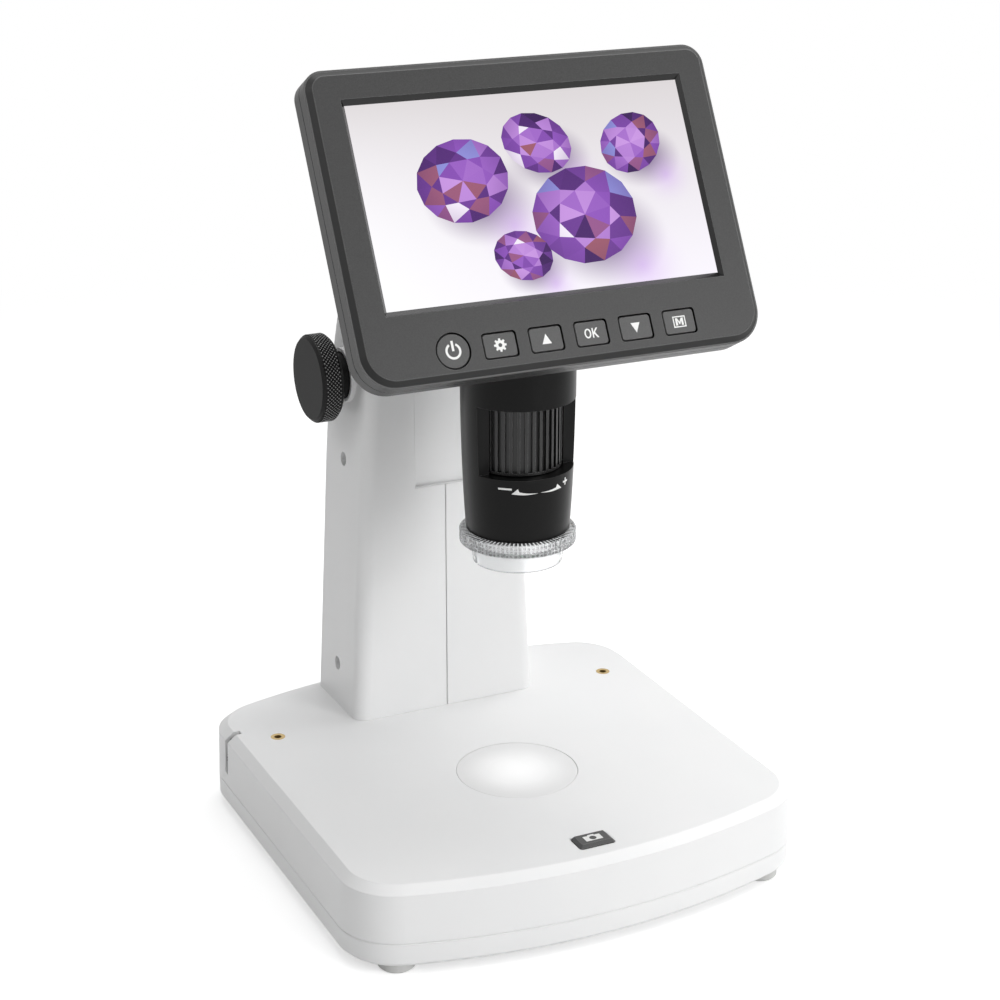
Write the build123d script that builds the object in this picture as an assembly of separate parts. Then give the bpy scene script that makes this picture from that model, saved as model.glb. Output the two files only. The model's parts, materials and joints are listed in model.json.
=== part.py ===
from build123d import *
import os
import math

# ---------------------------------------------------------------------------
# Desk-top digital microscope with a tilted screen on a lifting head.
# Millimetres. +Z up, the front faces -Y, the origin is under the base centre.
# ---------------------------------------------------------------------------

# --- driving dimensions: base ----------------------------------------------
BASE_HALF_W = 79.8        # half width of the base, at the seam
BASE_HALF_D = 83.7        # half depth at the crown of the bowed front
BASE_BOW_R = 228.0        # radius of the bowed front and back
BASE_CORNER_R = 20.0      # plan radius of the four corners
FOOT_H = 3.0              # rubber feet below the base
COVER_H = 8.0             # lower cover, floor to seam
BODY_H = 27.0             # lower face of the cover to the table
DRAFT = 0.5               # side walls lean in by this, seam to bevel
BEVEL_OUT = 3.2           # table edge bevel, across
BEVEL_DOWN = 2.5          # table edge bevel, down
EDGE_CUT = 1.4            # bevel round the underside
WALL = 2.4                # moulded wall of the base and column
SEAM_V = 0.35             # witness groove along every moulding seam
SEAM_DEEP = 0.5           # joint line round the screen case
FOOT_R = 6.0
FOOT_X = BASE_HALF_W - 14.6
FOOT_Y = BASE_HALF_D - 17.4
COL_INSET = 6.4           # column back, in from the crown of the base

# --- driving dimensions: stage, clip inserts, snapshot key ------------------
REACH = 56.7              # optical axis, in front of the column
STAGE_R = 20.3            # light stage disc
STAGE_T = 2.0
INSERT_X = BASE_HALF_W - 16.3     # brass inserts for stage clips
INSERT_R = 2.5
INSERT_BORE = 1.25
INSERT_L = 6.5
SNAP_Y = 12.5 - BASE_HALF_D       # snapshot key
SNAP_W = 12.0
SNAP_D = 7.6
SNAP_RISE = 1.1
SNAP_TRAVEL = 0.8

# --- driving dimensions: dimmer thumbwheel ----------------------------------
DIM_Y = BASE_HALF_D - 33.6
DIM_R = 6.9
DIM_T = 1.8
DIM_SLOT_W = 2.4
DIM_SLOT_IN = 5.8         # slot reach in from the side face
DIM_SLOT_H = 14.5         # slot reach down from the table

# --- driving dimensions: column ---------------------------------------------
COL_DEPTH = 37.5
COL_BACK = BASE_HALF_D - COL_INSET
COL_FRONT = COL_BACK - COL_DEPTH
AXIS_Y = COL_FRONT - REACH
INSERT_Y = COL_FRONT + 1.5
COL_HALF = 34.8           # half width at the table
COL_LEAN = 0.055          # side lean per mm of height
COL_STRAIGHT = 85.0       # back face is upright to here
COL_BACK_R = 215.0        # then follows this radius
COL_ARC_TOP = 150.0       # and goes on straight from here
COL_FRONT_WALL = 1.8
COL_FRONT_FILLET = 5.0
COL_BACK_FILLET = 3.0
SLOT_HALF = 11.2          # slot for the head arm
SIDE_SCREW_Y = COL_FRONT + 19.2   # shell screws
SIDE_SCREW_H = (15.0, 91.0)

# --- driving dimensions: rack and pinion drive ------------------------------
DRIVE_Y = COL_FRONT + 18.3
DRIVE_DOWN = 22.6         # shaft, below the top of the head arm
GEAR_MODULE = 0.6
GEAR_TEETH = 20
GEAR_HALF_W = 3.2
GEAR_BACKLASH = 0.16
SHAFT_R = 2.5
KNOB_R = 14.7
KNOB_T = 7.7
KNOB_FACE_X = 42.3
BOSS_R = 9.3
BOSS_X = 30.2
HEAD_DOWN = 35.0          # head travel below and above its middle place
HEAD_UP = 15.0
ROD_X = 17.0
ROD_Y = COL_FRONT + 7.3
ROD_R = 2.0

# --- driving dimensions: head -----------------------------------------------
BARREL_BOT_H = 87.3
BARREL_L = 59.1
BARREL_R_BOT = 16.7
BARREL_R_MID = 17.8       # at the foot of the focus window
BARREL_R_TOP = 18.3
BARREL_BORE = 14.4
WINDOW_UP = 21.3          # focus window, above the foot of the barrel
WINDOW_L = 22.6
WINDOW_CUT = 6.2          # flat of the focus window, in front of the axis
WHEEL_R = 14.0
WHEEL_RIBS = 36
CELL_R = 8.9
CELL_TRAVEL = 3.0
CAP_R = 18.8
CAP_H = 4.3
CAP_TEETH = 56
SKIRT_R_TOP = 15.2
SKIRT_R_BOT = 14.5
SKIRT_H = 6.4
ARM_HALF = 9.5
ARM_DEEP = 16.0
ARM_DOWN = 2.4            # top of the arm, below the housing floor

# --- driving dimensions: screen ---------------------------------------------
SCREEN_Y = AXIS_Y - 12.7
SCREEN_UP = 52.2          # middle of the screen, above the top of the barrel
SCREEN_TILT = 61.8        # from lying flat
LCD_HALF_W = 55.35        # 5 inch 16:9 active area
LCD_HALF_H = 31.15
MON_HALF_W = LCD_HALF_W + 11.4
MON_TOP = LCD_HALF_H + 11.3
MON_BOT = -LCD_HALF_H - 22.7
MON_R_TOP = 6.5           # upper and lower corners of the case
MON_R_BOT = 10.8
FACE_IN = 2.3             # face edge, in from the outline
FACE_Z = 0.6
CHAMFER_Z = -1.2
PART_Z = -5.4
TAPER_Z = -10.0
BACK_Z = -19.0
TAPER_IN = 6.0
MON_WALL = 2.2
KEY_V = -LCD_HALF_H - 13.95
KEY_PITCH = 15.1
KEY_W = 10.7
KEY_D = 7.5
KEY_ROUND_R = 5.3
KEY_TRAVEL = 0.6

# --- clearances --------------------------------------------------------------
SLIDE_GAP = 0.3           # between moving mouldings
FIT_GAP = 0.05            # shaft and guide fits
SEAT_GAP = 0.1            # fixed piece in its seat
M3_R = 1.5
M3_HEAD_R = 2.7
M3_HEAD_H = 1.8
M2_R = 1.0
M2_HEAD_R = 1.8
M2_HEAD_H = 1.2

# --- heights that follow -----------------------------------------------------
BARREL_TOP_H = BARREL_BOT_H + BARREL_L
SCREEN_H = BARREL_TOP_H + SCREEN_UP
WINDOW_BOT_H = BARREL_BOT_H + WINDOW_UP
WINDOW_TOP_H = WINDOW_BOT_H + WINDOW_L
ARM_TOP_H = BARREL_TOP_H - ARM_DOWN
ARM_BOT_H = ARM_TOP_H - ARM_DEEP
DRIVE_H = ARM_TOP_H - DRIVE_DOWN
SLOT_BOTTOM = ARM_BOT_H - HEAD_DOWN - 9.6
SLOT_TOP = ARM_TOP_H + HEAD_UP + 2.0
COL_H = DRIVE_H + HEAD_DOWN + HEAD_UP + 12.6
SEAM_Z = FOOT_H + COVER_H
TABLE_Z = FOOT_H + BODY_H
UNDER_Z = TABLE_Z - WALL          # underside of the table
FLOOR_Z = FOOT_H + WALL           # inside face of the cover floor
GEAR_R = GEAR_MODULE * GEAR_TEETH / 2
DRIVE_Z = TABLE_Z + DRIVE_H

OUT = "parts"
os.makedirs("parts", exist_ok=True)


# turns a flat (y, z) profile so that it stands in the YZ plane and extrudes along +X
SIDE = Rot(0, 0, 90) * Rot(90, 0, 0)


# --- small builders ----------------------------------------------------------
def box(x0, x1, y0, y1, z0, z1):
    return Pos((x0 + x1) / 2, (y0 + y1) / 2, (z0 + z1) / 2) * Box(x1 - x0, y1 - y0, z1 - z0)


def post(x, y, z0, z1, r):
    return Pos(x, y, (z0 + z1) / 2) * Cylinder(r, z1 - z0)


def bar_x(y, z, x0, x1, r):
    x0, x1 = min(x0, x1), max(x0, x1)
    return Pos((x0 + x1) / 2, y, z) * Rot(0, 90, 0) * Cylinder(r, x1 - x0)


def bar_y(x, z, y0, y1, r):
    return Pos(x, (y0 + y1) / 2, z) * Rot(90, 0, 0) * Cylinder(r, y1 - y0)


def ring(x, y, z0, z1, r_out, r_in):
    return post(x, y, z0, z1, r_out) - post(x, y, z0 - 1, z1 + 1, r_in)


def tapered(x, y, z0, z1, r0, r1):
    return Pos(x, y, (z0 + z1) / 2) * Cone(r0, r1, z1 - z0)


def slab(half_w, y0, y1, z0, z1, r):
    plan = Pos(0, (y0 + y1) / 2) * RectangleRounded(2 * half_w, y1 - y0, r)
    return Pos(0, 0, z0) * extrude(plan, z1 - z0)


def screw(r, length, head_r, head_h):
    # pan-head screw standing on +Z, seat of the head at z = 0, shank below
    shank = Pos(0, 0, -length / 2) * Cylinder(r, length)
    head = Pos(0, 0, head_h / 2) * Cylinder(head_r, head_h)
    drive = Pos(0, 0, head_h) * (Box(head_r * 1.2, head_r * 0.3, head_h)
                                 + Box(head_r * 0.3, head_r * 1.2, head_h))
    return shank + head - drive


def m3(length=8.0):
    return screw(M3_R, length, M3_HEAD_R, M3_HEAD_H)


def m2(length=5.0):
    return screw(M2_R, length, M2_HEAD_R, M2_HEAD_H)


def save(shape, name):
    export_step(shape, "parts/" + name + ".step")
    print(name, round(shape.volume, 1))


# --- base --------------------------------------------------------------------
def base_plan(inset):
    w = BASE_HALF_W - inset
    d = BASE_HALF_D - inset
    bow = BASE_BOW_R - inset
    side = d - (bow - math.sqrt(bow * bow - w * w))
    edges = [
        ThreePointArc((-w, -side), (0, -d), (w, -side)),
        Line((w, -side), (w, side)),
        ThreePointArc((w, side), (0, d), (-w, side)),
        Line((-w, side), (-w, -side)),
    ]
    face = make_face(Wire(edges))
    return fillet(face.vertices(), BASE_CORNER_R - inset)


def base_slab(inset, z0, z1):
    return Pos(0, 0, z0) * extrude(base_plan(inset), z1 - z0)


def base_taper(inset0, z0, inset1, z1):
    lower = Pos(0, 0, z0) * base_plan(inset0)
    upper = Pos(0, 0, z1) * base_plan(inset1)
    return loft([lower, upper], ruled=True)


COVER_SCREWS = [(k * (BASE_HALF_W - 13.8), 39.7 - BASE_HALF_D) for k in (-1, 1)]
COVER_SCREWS += [(k * (BASE_HALF_W - 27.8), BASE_HALF_D - 16.7) for k in (-1, 1)]
FEET = [(sx * FOOT_X, sy * FOOT_Y) for sx in (-1, 1) for sy in (-1, 1)]
INSERTS = [(-INSERT_X, INSERT_Y), (INSERT_X, INSERT_Y)]
FOOT_SCREW_X = COL_HALF - 10.8
FOOT_SCREWS = [(sx * FOOT_SCREW_X, y) for sx in (-1, 1)
               for y in (COL_FRONT + 13.2, COL_BACK - 9.3)]
SEAT_RING_R = STAGE_R + 2.7
SEAT_RING_Z = UNDER_Z - 3.6
LIGHT_FLOOR_Z = SEAT_RING_Z - 12.0
DIM_Z = UNDER_Z - DIM_R - 0.2
DIM_X = -(BASE_HALF_W - 0.8 - DIM_R)
SNAP_BOARD_Z = UNDER_Z - 8.6
SNAP_POSTS = (-11.0, 11.0)
BOARD_T = 1.2
MAIN_BOARD_Z = SEAM_Z
JACK_HALF = 4.5
JACK_H = 10.0
JACK_Z = MAIN_BOARD_Z + BOARD_T + JACK_H / 2
BOARD_X = COL_HALF - 9.8          # main board posts
BOARD_Y0 = COL_FRONT + 9.2
BOARD_Y1 = COL_BACK - 5.3
BOARD_POSTS = [(sx * BOARD_X, y) for sx in (-1, 1) for y in (BOARD_Y0, BOARD_Y1)]
DIM_POSTS = [(DIM_X + 0.7, DIM_Y + 9.7), (DIM_X + 8.7, DIM_Y + 9.7)]
POT_HALF = 4.0
POT_DROP = 5.3


def make_base_top_shell():
    s = base_taper(0, SEAM_Z + SEAM_V, DRAFT, TABLE_Z - BEVEL_DOWN)
    s += base_taper(DRAFT, TABLE_Z - BEVEL_DOWN, DRAFT + BEVEL_OUT, TABLE_Z)
    s += base_taper(SEAM_V, SEAM_Z, 0, SEAM_Z + SEAM_V)
    s -= base_slab(WALL, SEAM_Z - 1, UNDER_Z)
    # bosses hanging under the table
    s += post(0, AXIS_Y, SEAT_RING_Z, UNDER_Z, SEAT_RING_R)
    for x, y in INSERTS:
        s += post(x, y, TABLE_Z - INSERT_L - 1.5, UNDER_Z, INSERT_R + 2.0)
    for x, y in COVER_SCREWS:
        s += post(x, y, FLOOR_Z + 2.0, UNDER_Z, 4.0)
    for x in SNAP_POSTS:
        s += post(x, SNAP_Y + 1.0, SNAP_BOARD_Z + BOARD_T, UNDER_Z, 2.6)
    # stage seat and light well
    s -= post(0, AXIS_Y, TABLE_Z - STAGE_T, TABLE_Z + 1, STAGE_R + SEAT_GAP)
    s -= post(0, AXIS_Y, SEAT_RING_Z - 1, TABLE_Z, STAGE_R - 1.7)
    for x, y in INSERTS:
        s -= post(x, y, TABLE_Z - INSERT_L, TABLE_Z + 1, INSERT_R)
    for x, y in COVER_SCREWS:
        s -= post(x, y, FLOOR_Z + 1, FLOOR_Z + 14.0, M3_R)
    for x in SNAP_POSTS:
        s -= post(x, SNAP_Y + 1.0, SNAP_BOARD_Z, SNAP_BOARD_Z + 6.0, M2_R)
    for x, y in FOOT_SCREWS:
        s -= post(x, y, UNDER_Z - 1, TABLE_Z + 1, M3_R + 0.3)
    # snapshot key opening
    s -= Pos(0, SNAP_Y, 0) * slab(SNAP_W / 2 + SLIDE_GAP, -SNAP_D / 2 - SLIDE_GAP,
                                  SNAP_D / 2 + SLIDE_GAP, UNDER_Z - 1, TABLE_Z + 1, 1.2)
    # thumbwheel slot over the edge of the table
    s -= box(-BASE_HALF_W - 1, -BASE_HALF_W + DIM_SLOT_IN, DIM_Y - DIM_SLOT_W / 2,
             DIM_Y + DIM_SLOT_W / 2, TABLE_Z - DIM_SLOT_H, TABLE_Z + 1)
    # power socket mouth in the back wall
    s -= bar_y(0, JACK_Z, BASE_HALF_D - WALL - 1, BASE_HALF_D + 1, 4.0)
    return s


def make_base_bottom_cover():
    s = base_slab(0, FOOT_H + EDGE_CUT, SEAM_Z - SEAM_V)
    s += base_taper(EDGE_CUT, FOOT_H, 0, FOOT_H + EDGE_CUT)
    s += base_taper(0, SEAM_Z - SEAM_V, SEAM_V, SEAM_Z)
    s -= base_slab(WALL, FLOOR_Z, SEAM_Z + 1)
    lip = base_slab(WALL, FLOOR_Z, SEAM_Z) + base_slab(WALL + 0.15, SEAM_Z - 1, SEAM_Z + 1.8)
    s += lip - base_slab(WALL + 1.4, FLOOR_Z - 1, SEAM_Z + 3)
    s -= box(-BASE_HALF_W, DIM_X + 10.7, DIM_Y - 2.5, DIM_Y + 2.5, SEAM_Z, SEAM_Z + 3)
    s -= box(-JACK_HALF - 1, JACK_HALF + 1, BASE_HALF_D - 11.8, BASE_HALF_D - WALL, SEAM_Z, SEAM_Z + 3)
    for x, y in COVER_SCREWS:
        s += post(x, y, FLOOR_Z, FLOOR_Z + 2.0, 5.0)
    for x, y in FEET:
        s += post(x, y, FLOOR_Z, FLOOR_Z + 0.8, FOOT_R + 1.2)
    s += ring(0, AXIS_Y, FLOOR_Z - 0.5, LIGHT_FLOOR_Z, SEAT_RING_R, SEAT_RING_R - 2.0)
    for x, y in BOARD_POSTS:
        s += post(x, y, FLOOR_Z - 0.5, MAIN_BOARD_Z, 2.6)
    for x, y in DIM_POSTS:
        s += post(x, y, FLOOR_Z - 0.5, DIM_Z - POT_DROP - BOARD_T, 2.2)
    for x, y in COVER_SCREWS:
        s -= post(x, y, FOOT_H - 1, FLOOR_Z + 3, M3_R + 0.2)
        s -= post(x, y, FOOT_H - 1, FOOT_H + 2.2, M3_HEAD_R + 0.3)
    for x, y in FEET:
        s -= post(x, y, FOOT_H - 1, FOOT_H + 1.0, FOOT_R)
    for x, y in BOARD_POSTS:
        s -= post(x, y, MAIN_BOARD_Z - 4.0, MAIN_BOARD_Z + 1, M2_R)
    for x, y in DIM_POSTS:
        s -= post(x, y, DIM_Z - POT_DROP - BOARD_T - 4.0, DIM_Z, M2_R)
    return s


def make_foot_pads():
    pads = []
    for x, y in FEET:
        p = post(x, y, 0.6, FOOT_H + 1.0, FOOT_R) + tapered(x, y, 0, 0.6, FOOT_R - 0.6, FOOT_R)
        pads.append(p)
    return Compound(pads)


def make_base_screws():
    out = []
    for x, y in COVER_SCREWS:
        out.append(Pos(x, y, FOOT_H + 2.2) * Rot(180, 0, 0) * m3(9.0))
    return Compound(out)


def make_stage_diffuser():
    d = post(0, AXIS_Y, TABLE_Z - STAGE_T, TABLE_Z, STAGE_R)
    return chamfer(d.faces().sort_by(Axis.Z)[-1].edges(), 0.2)


def make_stage_inserts():
    out = []
    for x, y in INSERTS:
        out.append(ring(x, y, TABLE_Z - INSERT_L, TABLE_Z, INSERT_R, INSERT_BORE))
    return Compound(out)


def make_light_box():
    s = post(0, AXIS_Y, LIGHT_FLOOR_Z, SEAT_RING_Z, SEAT_RING_R)
    s -= post(0, AXIS_Y, LIGHT_FLOOR_Z + 1.5, SEAT_RING_Z + 1, SEAT_RING_R - 1.6)
    return s - post(0, AXIS_Y, LIGHT_FLOOR_Z - 1, LIGHT_FLOOR_Z + 2, 2.5)


def make_backlight_board():
    z = LIGHT_FLOOR_Z + 1.5
    s = post(0, AXIS_Y, z, z + BOARD_T, SEAT_RING_R - 1.6 - SEAT_GAP)
    for k in range(8):
        a = math.radians(45 * k)
        x, y = 12.0 * math.cos(a), AXIS_Y + 12.0 * math.sin(a)
        s += box(x - 1.6, x + 1.6, y - 1.6, y + 1.6, z + BOARD_T - 0.1, z + BOARD_T + 0.8)
    return s


def make_snapshot_button():
    top = TABLE_Z + SNAP_RISE
    half_w, half_d = SNAP_W / 2, SNAP_D / 2
    cap = Pos(0, SNAP_Y, 0) * slab(half_w, -half_d, half_d, UNDER_Z - 1.2, top, 1.0)
    cap = chamfer(cap.faces().sort_by(Axis.Z)[-1].edges(), 0.9)
    flange = box(-half_w - 1.0, half_w + 1.0, SNAP_Y - half_d - 1.0, SNAP_Y + half_d + 1.0,
                 UNDER_Z - 1.25, UNDER_Z - 0.05)
    stem = box(-1.5, 1.5, SNAP_Y - 1.5, SNAP_Y + 1.5, UNDER_Z - 3.2, UNDER_Z - 1.2)
    return cap + flange + stem


def make_snapshot_board():
    z = SNAP_BOARD_Z
    s = box(-14.5, 14.5, SNAP_Y - 4.0, SNAP_Y + 5.0, z, z + BOARD_T)
    s += box(-3.0, 3.0, SNAP_Y - 3.0, SNAP_Y + 3.0, z + BOARD_T - 0.1, z + BOARD_T + 2.4)
    s += post(0, SNAP_Y, z + BOARD_T + 2.3, UNDER_Z - 3.2 - SNAP_TRAVEL - 0.05, 1.6)
    for x in SNAP_POSTS:
        s -= post(x, SNAP_Y + 1.0, z - 1, z + BOARD_T + 1, M2_R + 0.1)
    return s


def make_dimmer_wheel():
    w = bar_y(DIM_X, DIM_Z, DIM_Y - DIM_T / 2, DIM_Y + DIM_T / 2, DIM_R)
    cuts = []
    for k in range(40):
        a = math.radians(9 * k)
        x, z = DIM_X + DIM_R * math.cos(a), DIM_Z + DIM_R * math.sin(a)
        cuts.append(Pos(x, DIM_Y, z) * Rot(0, -9 * k, 0) * Box(0.6, DIM_T + 1, 0.45))
    w -= cuts
    w += bar_y(DIM_X, DIM_Z, DIM_Y - 0.5, DIM_Y + 5.8, 1.5 - FIT_GAP)
    return w


def make_dimmer_pot():
    y0 = DIM_Y + DIM_T / 2 + 0.6
    z0 = DIM_Z - POT_DROP
    s = box(DIM_X - POT_HALF, DIM_X + POT_HALF, y0, y0 + 5.4, z0 - 0.1, DIM_Z + POT_DROP)
    s -= bar_y(DIM_X, DIM_Z, y0 - 1, y0 + 4.9, 1.5)
    s += box(DIM_X - 1.7, DIM_X + 11.1, y0, DIM_Y + 11.9, z0 - BOARD_T, z0)
    for x, y in DIM_POSTS:
        s -= post(x, y, z0 - 3, z0 + 1, M2_R + 0.1)
    return s


def make_base_main_board():
    z = MAIN_BOARD_Z
    x, y = BOARD_X, BOARD_Y0
    s = box(-x - 3.5, x + 3.5, y - 3.5, BOARD_Y1 + 3.4, z, z + BOARD_T)
    s += box(5.0 - x, 15.0 - x, y + 3.0, y + 13.0, z + BOARD_T - 0.1, z + BOARD_T + 1.4)
    s += post(x - 13.0, y + 9.0, z + BOARD_T - 0.1, z + BOARD_T + 8.0, 3.2)
    s += box(-4.0, 4.0, y - 1.0, y + 3.0, z + BOARD_T - 0.1, z + BOARD_T + 3.0)
    for x, y in BOARD_POSTS:
        s -= post(x, y, z - 1, z + BOARD_T + 1, M2_R + 0.1)
    return s


def make_power_inlet():
    y1 = BASE_HALF_D - WALL - SEAT_GAP
    z0 = MAIN_BOARD_Z + BOARD_T
    s = box(-JACK_HALF, JACK_HALF, y1 - 13.0, y1, z0, z0 + JACK_H)
    s -= bar_y(0, JACK_Z, y1 - 10.0, y1 + 1, 3.1)
    return s + bar_y(0, JACK_Z, y1 - 10.5, y1 - 1.5, 0.95)


def make_ballast_bar():
    y0 = AXIS_Y + SEAT_RING_R + 3.0
    s = slab(BASE_HALF_W - 30.4, y0, y0 + 20.0, FLOOR_Z, FLOOR_Z + 6.0, 3.0)
    return chamfer(s.faces().sort_by(Axis.Z)[-1].edges(), 0.8)


def make_board_screws():
    out = []
    for x, y in BOARD_POSTS:
        out.append(Pos(x, y, MAIN_BOARD_Z + BOARD_T) * m2(4.5))
    for x, y in DIM_POSTS:
        out.append(Pos(x, y, DIM_Z - POT_DROP) * m2(4.5))
    for x in SNAP_POSTS:
        out.append(Pos(x, SNAP_Y + 1.0, SNAP_BOARD_Z) * Rot(180, 0, 0) * m2(4.5))
    return Compound(out)


# --- column ------------------------------------------------------------------
def col_half(h):
    return COL_HALF - COL_LEAN * h


def col_back(h):
    if h <= COL_STRAIGHT:
        return COL_BACK
    k = min(h, COL_ARC_TOP) - COL_STRAIGHT
    y = COL_BACK - (COL_BACK_R - math.sqrt(COL_BACK_R ** 2 - k * k))
    if h > COL_ARC_TOP:
        y -= (h - COL_ARC_TOP) * k / math.sqrt(COL_BACK_R ** 2 - k * k)
    return y


def col_body(front_in, wall, h0, h1):
    # column volume moved in from the outside faces, between two heights
    w0, w1 = col_half(h0) - wall, col_half(h1) - wall
    y_mid = (COL_FRONT + COL_BACK) / 2
    front = make_face(Polyline((-w0, h0), (w0, h0), (w1, h1), (-w1, h1), close=True))
    front = Pos(0, COL_BACK + 20, TABLE_Z) * Rot(90, 0, 0) * front
    wide = extrude(front, amount=2 * (COL_BACK + 20 - y_mid) + 20)
    hs = COL_STRAIGHT
    ha = min(COL_ARC_TOP, h1)
    hm = (hs + ha) / 2
    y0 = COL_FRONT + front_in
    if h1 <= hs:
        prof = Polyline((y0, h0), (COL_BACK - wall, h0), (COL_BACK - wall, h1), (y0, h1),
                        close=True)
        side = make_face(prof)
    else:
        edges = [
            Line((y0, h0), (COL_BACK - wall, h0)),
            Line((COL_BACK - wall, h0), (COL_BACK - wall, hs)),
            ThreePointArc((COL_BACK - wall, hs), (col_back(hm) - wall, hm),
                          (col_back(ha) - wall, ha)),
        ]
        if h1 > ha:
            edges.append(Line((col_back(ha) - wall, ha), (col_back(h1) - wall, h1)))
        edges.append(Line((col_back(h1) - wall, h1), (y0, h1)))
        edges.append(Line((y0, h1), (y0, h0)))
        side = make_face(Wire(edges))
    side = Pos(-60, 0, TABLE_Z) * SIDE * side
    deep = extrude(side, amount=120)
    return wide & deep


def col_edges(s, y_min, y_max, length):
    out = []
    for e in s.edges():
        c = e.center()
        if y_min < c.Y < y_max and abs(c.X) > 15 and e.bounding_box().size.Z > length:
            out.append(e)
    return out


def col_shell():
    s = col_body(0, 0, 0, COL_H)
    s = fillet(col_edges(s, COL_FRONT - 1, COL_FRONT + 1, 100), COL_FRONT_FILLET)
    s = fillet(col_edges(s, COL_BACK - 22, COL_BACK + 1, 20), COL_BACK_FILLET)
    s = chamfer(s.faces().sort_by(Axis.Z)[-1].edges(), 1.5)
    # round seats for the knob shaft on both sides
    for k in (-1, 1):
        s += bar_x(DRIVE_Y, DRIVE_Z, k * (col_half(DRIVE_H) - 4), k * BOSS_X, BOSS_R)
    # floor lip that the column foot clamps, inside the rounded outline
    lip = col_body(0.5, 0.5, 0, WALL) - col_body(COL_FRONT_WALL + 3, WALL + 3, -1, WALL + 1)
    lip &= s
    inside = col_body(COL_FRONT_WALL, WALL, -1, COL_H - WALL)
    s -= inside
    s += lip
    # shaft bosses inside, shell screw tubes across
    for k in (-1, 1):
        s += bar_x(DRIVE_Y, DRIVE_Z, k * (col_half(DRIVE_H) - 4.4), k * col_half(DRIVE_H), 7.5)
    for h in SIDE_SCREW_H:
        z = TABLE_Z + h
        edge = col_half(h) - 0.8
        s += bar_x(SIDE_SCREW_Y, z, -edge, edge, 4.0)
    # openings
    s -= box(-SLOT_HALF, SLOT_HALF, COL_FRONT - 1, COL_FRONT + COL_FRONT_WALL + 1,
             TABLE_Z + SLOT_BOTTOM, TABLE_Z + SLOT_TOP)
    for k in (-1, 1):
        s -= bar_x(DRIVE_Y, DRIVE_Z, k * (BOSS_X - 1.6), k * (BOSS_X + 1), BOSS_R - 1.2)
        s -= bar_x(DRIVE_Y, DRIVE_Z, k * 15.0, k * BOSS_X, 4.5)
    for h in SIDE_SCREW_H:
        z = TABLE_Z + h
        s -= bar_x(SIDE_SCREW_Y, z, -col_half(h) - 1, -22.0, 2.4)
        s -= bar_x(SIDE_SCREW_Y, z, -23.0, 0.5, 1.45)
        s -= bar_x(SIDE_SCREW_Y, z, -0.5, 17.0, 1.25)
    # witness groove along the parting plane
    s -= box(-SEAM_V / 2, SEAM_V / 2, COL_FRONT - 1, COL_FRONT + 0.4, TABLE_Z - 1,
             TABLE_Z + SLOT_BOTTOM + 1)
    s -= box(-SEAM_V / 2, SEAM_V / 2, COL_BACK - 0.4, COL_BACK + 1, TABLE_Z - 1,
             TABLE_Z + COL_STRAIGHT)
    return s


def make_column_shells():
    s = col_shell()
    z1 = TABLE_Z + COL_H + 5
    left = s & box(-60, 0, 0, 120, TABLE_Z - 5, z1)
    right = s & box(0, 60, 0, 120, TABLE_Z - 5, z1)
    return left, right


def make_column_screws():
    out = []
    for h in SIDE_SCREW_H:
        s = screw(1.25, 37.0, 2.2, 1.8)
        out.append(Pos(-22.0, SIDE_SCREW_Y, TABLE_Z + h) * Rot(0, -90, 0) * s)
    return Compound(out)


def make_column_foot():
    s = col_body(COL_FRONT_WALL + 0.8, WALL + 0.8, WALL, WALL + 6)
    s += col_body(COL_FRONT_WALL + 3.3, WALL + 3.3, 0, WALL + 1)
    for k in (-1, 1):
        s += post(k * ROD_X, ROD_Y, TABLE_Z + WALL + 5, TABLE_Z + WALL + 12, ROD_R + 2.6)
        s -= post(k * ROD_X, ROD_Y, TABLE_Z + 1.5, TABLE_Z + 40, ROD_R)
    for x, y in FOOT_SCREWS:
        s -= post(x, y, TABLE_Z - 1, TABLE_Z + 6.5, M3_R)
    return s


def make_column_mount_screws():
    out = []
    for x, y in FOOT_SCREWS:
        out.append(Pos(x, y, UNDER_Z) * Rot(180, 0, 0) * m3(8.0))
    return Compound(out)


ROD_TOP_H = COL_H - WALL - 0.6


def make_guide_rods():
    out = []
    for k in (-1, 1):
        out.append(post(k * ROD_X, ROD_Y, TABLE_Z + 1.5, TABLE_Z + ROD_TOP_H, ROD_R))
    return Compound(out)


def make_rod_head():
    h0, h1 = COL_H - WALL - 5.0, COL_H - WALL
    half = col_half(h1) - WALL - 0.1
    y1 = min(col_back(h1) - WALL - 0.5, ROD_Y + 6.0)
    s = box(-half, half, COL_FRONT + 4.6, y1, TABLE_Z + h0, TABLE_Z + h1)
    for k in (-1, 1):
        s -= post(k * ROD_X, ROD_Y, TABLE_Z + h0 - 1, TABLE_Z + ROD_TOP_H, ROD_R)
    return s


def make_shaft_bushes():
    out = []
    for k in (-1, 1):
        x_out, x_in = BOSS_X - 1.6, col_half(DRIVE_H) - 5.8
        b = bar_x(DRIVE_Y, DRIVE_Z, k * x_in, k * x_out, 4.5)
        b += bar_x(DRIVE_Y, DRIVE_Z, k * x_in, k * (x_in + 1.4), 6.2)
        b -= bar_x(DRIVE_Y, DRIVE_Z, k * (x_in - 1), k * (x_out + 1), SHAFT_R + FIT_GAP)
        out.append(b)
    return Compound(out)


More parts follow.
